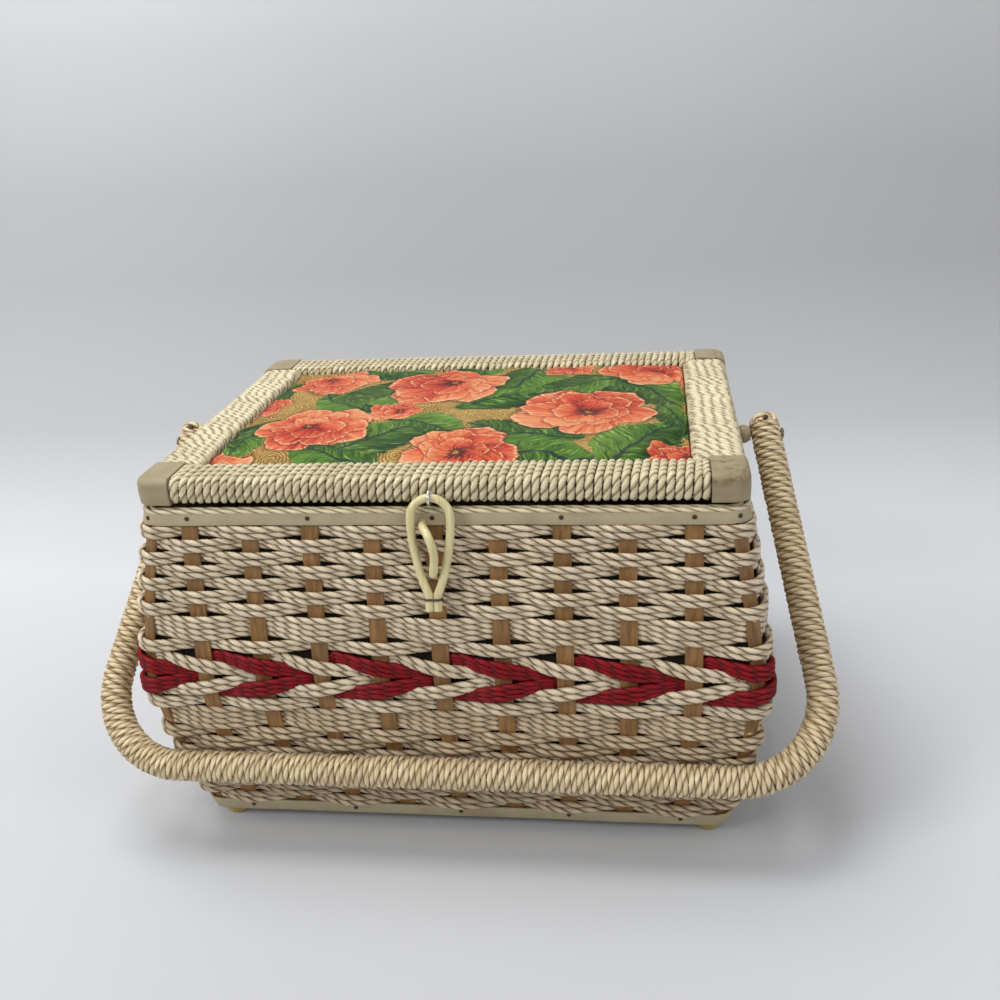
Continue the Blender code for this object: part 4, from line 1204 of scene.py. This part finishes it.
def paintLeaves(found, drift, under):
    u, across, _ = split(found)
    v = across + u * u * 0.15
    side = calc("ABSOLUTE", v)
    taper = (1.0 - u * u) * (0.60 - u * 0.13)
    rib = u * 4.2 - side * 3.4
    tooth = calc("FRACT", rib * 1.4) * 0.055
    inside = taper + tooth - side
    strokePlace = combine(rib * 3.4, side * 2.2, drift * 3.0 + v)
    strokes = noise(strokePlace, 1.2, 3.0, 0.65)
    shade = strokes * 0.95 + v * 0.28
    green = ramp(shade, (
        (0.28, (0.006, 0.030, 0.010)), (0.41, (0.026, 0.090, 0.010)), (0.54, (0.080, 0.185, 0.020)),
        (0.70, (0.155, 0.300, 0.045)), (0.86, (0.33, 0.45, 0.12))))
    green = mixColour(between(calc("FRACT", rib), 0.18, 0.04, 0, 0.65), green, (0.005, 0.035, 0.030))
    green = mixColour(between(strokes, 0.60, 0.70, 0, 0.6), green, (0.34, 0.53, 0.20))
    green = mixColour(between(side, 0.045, 0.012, 0, 0.9), green, (0.004, 0.020, 0.030))
    green = mixColour(between(inside, 0.07, 0.0, 0, 0.55), green, (0.006, 0.040, 0.022))
    return mixColour(between(inside, 0.0, 0.03), under, green)


def printMaterial():
    made, skin = startMaterial("flowerPrint", 0.68, Specular_IOR_Level=0.22)
    axes = split(objectPlace())
    flat = combine(axes[0], axes[1], 0.0)
    brush = noise(flat, 420.0, 3.0, 0.6)
    bend = noise(flat, 46.0, 3.0, 0.55)
    sway = noise(vecCalc("ADD", flat, (3.1, 1.7, 0.0)), 46.0, 3.0, 0.55)
    slight = (brush - 0.5) * 0.0014
    shift = combine((bend - 0.5) * 0.014 + slight, (sway - 0.5) * 0.014 - middle.y, 0.0)
    spot = vecCalc("ADD", flat, shift)
    drift = axes[0] * 17.0 + axes[1] * 11.0

    # ground: ochre, with short curled strokes
    curl = {"Scale": 64.0, "Vector": vecCalc("ADD", flat, vecCalc("SCALE", shift, scale=0.5))}
    curled = addNode("ShaderNodeTexVoronoi", curl, voronoi_dimensions="2D")["Distance"]
    rings = calc("SINE", curled * 50.0 + brush * 2.5)
    ground = ramp(
        bend, ((0.34, (0.19, 0.095, 0.018)), (0.50, (0.33, 0.185, 0.042)), (0.66, (0.45, 0.285, 0.085))))
    pale = between(rings, 0.35, 0.85) * between(brush, 0.40, 0.56, 0.25, 0.95)
    dark = between(rings, -0.4, -0.9) * between(brush, 0.62, 0.42, 0.2, 0.8)
    colour = mixColour(dark, mixColour(pale, ground, (0.62, 0.46, 0.20)), (0.20, 0.080, 0.018))
    for motifs, narrow, paint in ((leaves, 1.9, paintLeaves), (blooms, 1.0, paintBlooms)):
        found = combine(9.0, 9.0, 9.0)
        for x, y, size, turn in motifs:
            found = place(
                nearestMotif, Place=spot, Centre=(x, y, 0), Turn=turn, Size=size, Narrow=narrow,
                Found=found)["Found"]
        colour = paint(found, drift, colour)
    fade = noise(flat, 16.0)
    colour = mixColour(between(fade, 0.35, 0.75, 0.0, 0.05), colour, (0.62, 0.50, 0.30))
    feed(skin["Base Color"], vecCalc("MULTIPLY", colour, (0.91, 0.91, 0.76)))
    warp, weft = (calc("SINE", axes[i] * (2 * math.pi / 0.0008)) for i in (0, 1))
    addBump(skin, warp * weft * 0.3 + brush * 0.4, 0.00009, 0.5)
    return made


finishes["print"] = printMaterial()


def swell(piece, pressure, frames, cap, held):
    # Cloth under pressure, held where held(point) is true; no point moves further than cap
    plain = [v.co.copy() for v in piece.data.vertices]
    group = piece.vertex_groups.new(name="held")
    group.add([v.index for v in piece.data.vertices if held(v.co - middle)], 1.0, "REPLACE")
    cloth = piece.modifiers.new("cloth", "CLOTH")
    cloth.settings.quality = 6
    cloth.settings.mass = 0.15
    cloth.settings.tension_stiffness = cloth.settings.compression_stiffness = 12
    cloth.settings.shear_stiffness = 8
    cloth.settings.bending_stiffness = 0.15
    cloth.settings.shrink_min = -0.035
    cloth.settings.use_pressure = True
    cloth.settings.uniform_pressure_force = pressure
    cloth.settings.vertex_group_mass = "held"
    cloth.settings.effector_weights.gravity = 0
    cloth.collision_settings.use_collision = False
    cloth.point_cache.frame_end = frames
    for number in range(1, frames + 1):
        bpy.context.scene.frame_set(number)
    shown = piece.evaluated_get(bpy.context.evaluated_depsgraph_get())
    moved = [v.co.copy() for v in shown.data.vertices]
    piece.modifiers.remove(cloth)
    bpy.context.scene.frame_set(1)
    for vertex, old, new in zip(piece.data.vertices, plain, moved):
        shift = new - old
        if shift.length > cap:
            shift *= cap / shift.length
        vertex.co = old + shift
    finer = piece.modifiers.new("finer", "SUBSURF")
    finer.levels = finer.render_levels = 1


def buildPanel():
    def ripple(x, y):
        return panel["ripple"] * math.sin(x * 61 + 1.7 * math.sin(y * 43)) * math.sin(y * 57 + 0.6)

    mesh = padMesh(
        "lidPanel", panel["halfX"], panel["halfY"], panel["radius"], panel["low"], panel["edge"],
        panel["crown"], panel["roll"], across=104, deep=76, tufts=ripple)
    piece = newPiece("lidPanel", mesh, "print")
    heldTo = panel["edge"] - panel["heldBelow"]
    swell(piece, panel["pressure"], panel["frames"], panel["cap"], lambda p: p.z < heldTo)
    piece = bakeModifiers(piece, "lidPanel", "print", True)
    top = max(v.co.z for v in piece.data.vertices)
    print("panel crown", round(top * 1000, 2), "mm")
    settle(piece, "lid", "lid_pad")


buildPanel()
print("panel made")


# Handle: cord wound round a core, from one arm's end to the other
bail = {
    "pivot": 0.16425, "pivotZ": 0.1865, "reach": 0.1855, "flare": 0.155, "elbow": 0.043, "rest": 46.45,
    "radius": 0.0083, "cordRadius": 0.00172, "pitch": 0.0030, "overrun": 0.0085, "twistPitch": 0.0145,
    "perTurn": 16, "push": 0.00028, "coreEnd": 0.004, "coreSteps": 220, "coreSides": 20}
handleEnd = {
    "cords": 4, "arc": 1.3, "dome": 0.0038, "back": 0.0024, "tackRadius": 0.0016, "step": 0.0013,
    "tackInset": 0.006}


def bailBend():
    # Lean of an arm, turn of an elbow, the length that it cuts off, and the straight half of the bar
    flare = math.atan(bail["flare"])
    turn = math.pi / 2 + flare
    tangent = bail["elbow"] * math.tan(turn / 2)
    return flare, turn, tangent, bail["pivot"] + bail["flare"] * bail["reach"] - tangent


def bailPoint(distance):
    # Sideways, away from the pivots, and heading, at a distance from the middle of the bar
    _, turn, _, bar = bailBend()
    if distance <= bar:
        return distance, bail["reach"], 0.0
    swept = min(turn, (distance - bar) / bail["elbow"])
    x = bar + bail["elbow"] * math.sin(swept)
    away = bail["reach"] - bail["elbow"] * (1 - math.cos(swept))
    beyond = distance - bar - turn * bail["elbow"]
    if beyond > 0:
        x += beyond * math.cos(turn)
        away -= beyond * math.sin(turn)
    return x, away, swept


def bailFrame(distance, half):
    sign = 1 if distance > half else -1
    x, away, heading = bailPoint(abs(distance - half))
    rest = math.radians(bail["rest"])
    down = Vector((0, -math.cos(rest), -math.sin(rest)))
    centre = Vector((sign * x, 0, bail["pivotZ"])) + down * away
    outward = down * math.cos(heading) + xAxis * (sign * math.sin(heading))
    return centre, outward, xAxis.cross(down)


def buildHandle():
    flare, turn, tangent, bar = bailBend()
    half = bar + turn * bail["elbow"]
    half += bail["reach"] / math.cos(flare) - tangent + bail["overrun"]
    r = bail["cordRadius"]
    ring = bail["radius"] - r
    turns = round((2 * half - 2 * r) / bail["pitch"])
    pitch = (2 * half - 2 * r) / turns
    chance = random.Random(8)
    path, push, perTurn = [], 0.0, bail["perTurn"]
    for wrap in range(turns):
        push = 0.55 * push + chance.uniform(-bail["push"], bail["push"])
        puff = chance.uniform(-0.00012, 0.00018)
        phase = chance.uniform(0, 6.28)
        for i in range(perTurn):
            t = i / perTurn
            spin = 2 * math.pi * t
            centre, outward, square = bailFrame(r + pitch * (wrap + t) + push * math.sin(spin + phase), half)
            away = outward * math.cos(spin) + square * math.sin(spin)
            path.append(centre + away * (ring + puff * math.sin(math.pi * t)))
    piece = cordPiece("handleWrap", [path], False, "handleCord", r, bail["twistPitch"])
    settle(piece, "handle", "handle")

    # The core under the wraps, with rounded ends, in cord colour darkened as painted shade
    rings, steps, sharp = [], bail["coreSteps"], bail["coreEnd"]
    for i in range(steps + 1):
        distance = 2 * half * i / steps
        centre, outward, square = bailFrame(distance, half)
        end = min(distance, 2 * half - distance)
        size = (ring - r * 0.45) * (1 if end > sharp else 0.62 + 0.38 * math.sqrt(max(0, end / sharp)))
        rings.append([
            centre + (outward * math.cos(a) + square * math.sin(a)) * size
            for a in (2 * math.pi * k / bail["coreSides"] for k in range(bail["coreSides"]))])
    core = newPiece("handleCore", skinRings("handleCore", rings), "coreCord")
    settle(core, "handle")

    # Cord ends laid over each arm's end and held by a tack
    spots = []
    for label, distance, onward in (("Left", 0.0, 1), ("Right", 2 * half, -1)):
        centre, outward, square = bailFrame(distance, half)
        inner, _, _ = bailFrame(distance + onward * handleEnd["tackInset"], half)
        heading = (centre - inner).normalized()
        over = []
        for k in range(handleEnd["cords"]):
            across = (k - (handleEnd["cords"] - 1) / 2) * 2 * r * 0.96
            flat = math.sqrt(1 - (across / bail["radius"]) ** 2)
            bowed = []
            for i in range(19):
                a = math.pi * handleEnd["arc"] * (i / 18 - 0.5)
                ahead = math.cos(a) * handleEnd["dome"] * flat - handleEnd["back"]
                bowed.append(
                    centre + square * across + outward * math.sin(a) * ring * flat * 0.98 + heading * ahead)
            over.append(bowed)
        cap = cordPiece(
            f"handleEnd{label}", over, False, "handleCord", r, bail["twistPitch"], handleEnd["step"])
        settle(cap, "handle")
        spots.append((inner * 0.4 + centre * 0.6 - square * (bail["radius"] - 0.0001), -square))
    tacks = tackPiece("handleTacks", spots, handleEnd["tackRadius"], 0.45)
    settle(tacks, "handle")


buildHandle()
print("handle wound")


# Turned spacers and screw heads at the pivots; profiles are (radius, height)
pivots = {"spacerRadius": 0.0051, "spacerNeck": 0.0034, "headDepth": 0.0018}
screwHead = [
    (0.0015, -0.0006), (0.0031, -0.0004), (0.0032, 0), (0.0029, 0.0006), (0.0020, 0.0010), (0.0010, 0.0011),
    (0, 0.0011)]


def buildPivots():
    for hand, sx in (("left", -1), ("right", 1)):
        low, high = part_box(f"handle_spacer_{hand}")
        width = high.x - low.x
        start = Vector((low.x if sx > 0 else high.x, 0, bail["pivotZ"]))
        r, neck = pivots["spacerRadius"], pivots["spacerNeck"]
        profile = [(0, 0), (neck, 0)]
        profile += [(neck + (r - neck) * math.sin(math.pi * i / 14), width * i / 14) for i in range(1, 14)]
        profile += [(neck, width), (0, width)]
        piece = turnedPiece(f"spacer{hand.title()}", profile, start, xAxis * sx, "tan")
        settle(piece, "basket", f"handle_spacer_{hand}")

        low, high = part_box(f"pivot_screw_{hand}")
        inner, tip = (low.x, high.x) if sx > 0 else (high.x, low.x)
        face = tip - sx * pivots["headDepth"]
        profile = [(0, (inner - face) * sx), (0.0015, (inner - face) * sx)] + screwHead
        piece = turnedPiece(
            f"screw{hand.title()}", profile, Vector((face, 0, bail["pivotZ"])), xAxis * sx, "screw")
        settle(piece, "basket", f"pivot_screw_{hand}")


buildPivots()


# Latch: a cane loop on a wire staple, over a cane peg
latch = {
    "cane": 0.0041, "halfWidth": 0.0096, "length": 0.0545, "tilt": 12, "wire": 0.0016, "tail": 0.0020,
    "binding": 0.895, "axisY": -0.1136, "axisZ": 0.197}


def buildLatch():
    tilt = math.radians(latch["tilt"])
    hang = Vector((0, -math.sin(tilt), -math.cos(tilt)))
    hub = Vector((0, latch["axisY"], latch["axisZ"]))
    w, length, tail = latch["halfWidth"], latch["length"], latch["tail"]
    right = [(w * math.sin(a), w * (1 - math.cos(a))) for a in (i / 6 * math.pi / 2 for i in range(1, 6))]
    right += [
        (w, length * 0.21), (w * 0.95, length * 0.35), (w * 0.80, length * 0.52), (w * 0.60, length * 0.67),
        (w * 0.42, length * 0.77)]
    right += [(tail * 1.2, length * 0.85), (tail, length * 0.90), (tail, length)]
    points = [(-x, d) for x, d in reversed(right)] + [(0, 0)] + right
    piece = tubePiece(
        "latchLoop", [hub + xAxis * x + hang * d for x, d in points], latch["cane"], "cane", sides=20,
        smoothSteps=6)
    settle(piece, "latch_loop", "latch_loop")

    deep = hang.cross(xAxis)
    bound = []
    turns, reach = 2, latch["cane"] / 2 + 0.0003
    for i in range(turns * 24 + 1):
        a = 2 * math.pi * i / 24
        x = (tail if math.cos(a) > 0 else -tail) * min(1, abs(math.cos(a)) * 6) + reach * math.cos(a)
        down = length * latch["binding"] - 0.0004 + 0.0006 * i / 24
        bound.append(hub + hang * down + xAxis * x + deep * reach * math.sin(a))
    piece = tubePiece("latchBinding", bound, 0.0007, "thread", sides=8, smoothSteps=1)
    settle(piece, "latch_loop", "latch_binding")

    grip = latch["cane"] / 2 + 0.0011
    buried, front = -wall["halfDepth"] + 0.0035, -wall["halfDepth"] - 0.0003
    bow = [Vector((0, buried, hub.z + grip * 0.98)), Vector((0, front, hub.z + grip))]
    bow += [
        hub + Vector((0, -grip * math.sin(a), grip * math.cos(a)))
        for a in (i / 8 * math.pi for i in range(9))]
    bow += [Vector((0, front, hub.z - grip)), Vector((0, buried, hub.z - grip * 0.98))]
    piece = tubePiece("latchStaple", bow, latch["wire"], "wire", sides=14, smoothSteps=4)
    settle(piece, "lid", "latch_staple")

    low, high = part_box("latch_peg")
    topZ, lowZ = high.z - 0.0035, low.z + 0.002
    face, out = high.y - middle.y, low.y - middle.y + 0.002
    peg = [
        (-0.0050, face + 0.0025, topZ), (-0.0040, face * 0.7 + out * 0.3, topZ + 0.0002),
        (-0.0008, out + 0.0022, topZ - 0.0012), (0.0014, out, topZ - 0.0062),
        (0.0022, out - 0.0002, (topZ + lowZ) / 2), (0.0017, out, lowZ + 0.0075),
        (0.0007, out + 0.0018, lowZ + 0.0022), (-0.0003, out + 0.0055, lowZ),
        (-0.0008, face - 0.004, lowZ - 0.0002)]
    piece = tubePiece("latchPeg", peg, latch["cane"], "cane", sides=20)
    settle(piece, "basket", "latch_peg")


buildLatch()
dressSolids("wire", "hinge_eye_left", "hinge_eye_right", "hinge_loop_left", "hinge_loop_right")
print("latch and hinges made")


# Studio: a pale sweep and soft lamps
studio = {"bend": 0.9, "back": 1.1, "height": 2.4, "world": 0.34}


def buildStudio():
    shape = bmesh.new()
    profile = [(-2.2, 0.0), (studio["back"] - studio["bend"], 0.0)]
    profile += [
        (studio["back"] - studio["bend"] + studio["bend"] * math.sin(a), studio["bend"] * (1 - math.cos(a)))
        for a in (i / 16 * math.pi / 2 for i in range(1, 17))]
    profile += [(studio["back"], studio["height"])]
    lines = [[shape.verts.new((x, y, z)) for y, z in profile] for x in (-3.0, 3.0)]
    for i in range(len(profile) - 1):
        shape.faces.new((lines[0][i], lines[1][i], lines[1][i + 1], lines[0][i + 1]))
    mesh = bpy.data.meshes.new("sweep")
    shape.to_mesh(mesh)
    shape.free()
    made, skin = startMaterial("paleSweep", 0.8)
    axes = split(objectPlace())
    # painted light and shade: paler in front and up the left, darker where the sweep turns up
    tone = ramp(axes[1] * 0.5 + 0.5, (
        (0.38, (0.545, 0.555, 0.568)), (0.46, (0.55, 0.56, 0.573)), (0.60, (0.64, 0.65, 0.665)),
        (0.66, (0.57, 0.578, 0.59)), (0.735, (0.42, 0.426, 0.432)), (0.85, (0.345, 0.348, 0.35)),
        (0.91, (0.355, 0.359, 0.362)), (0.98, (0.44, 0.445, 0.45)), (1.0, (0.485, 0.49, 0.495))))
    sidePaintedLight = between(axes[0], -0.1, -0.75, 0.0, 0.16) + between(axes[0], 0.1, 0.5, 0.0, -0.05)
    far = between(axes[1], 0.3, 0.75)
    nearPaintedLight = between(axes[0], -0.40, -0.05, 0.05, 0.0) + between(axes[0], 0.10, 0.32, 0.0, 0.09)
    paintedLightLift = sidePaintedLight * far + nearPaintedLight * (1.0 - far)
    feed(skin["Base Color"], vecCalc("SCALE", tone, scale=paintedLightLift + 1.0))
    mesh.materials.append(made)
    mesh.shade_smooth()
    sweep = bpy.data.objects.new("sweep", mesh)
    bpy.context.scene.collection.objects.link(sweep)

    world = bpy.data.worlds.new("studioWorld")
    world.use_nodes = True
    world.node_tree.nodes["Background"].inputs[0].default_value = (0.93, 0.95, 1.0, 1)
    world.node_tree.nodes["Background"].inputs[1].default_value = studio["world"]
    bpy.context.scene.world = world

    for name, spot, size, power in (
            ("overhead", (-0.5, 0.1, 2.2), 1.2, 30), ("leftWindow", (-1.8, -1.4, 1.6), 1.1, 32),
            ("rightFill", (1.8, -1.2, 1.2), 1.1, 13)):
        lamp = bpy.data.lights.new(name, "AREA")
        lamp.energy = power
        lamp.size = size
        made = bpy.data.objects.new(name, lamp)
        made.location = spot
        made.rotation_euler = (Vector((0, 0, 0.1)) - Vector(spot)).to_track_quat("-Z", "Y").to_euler()
        bpy.context.scene.collection.objects.link(made)


buildStudio()
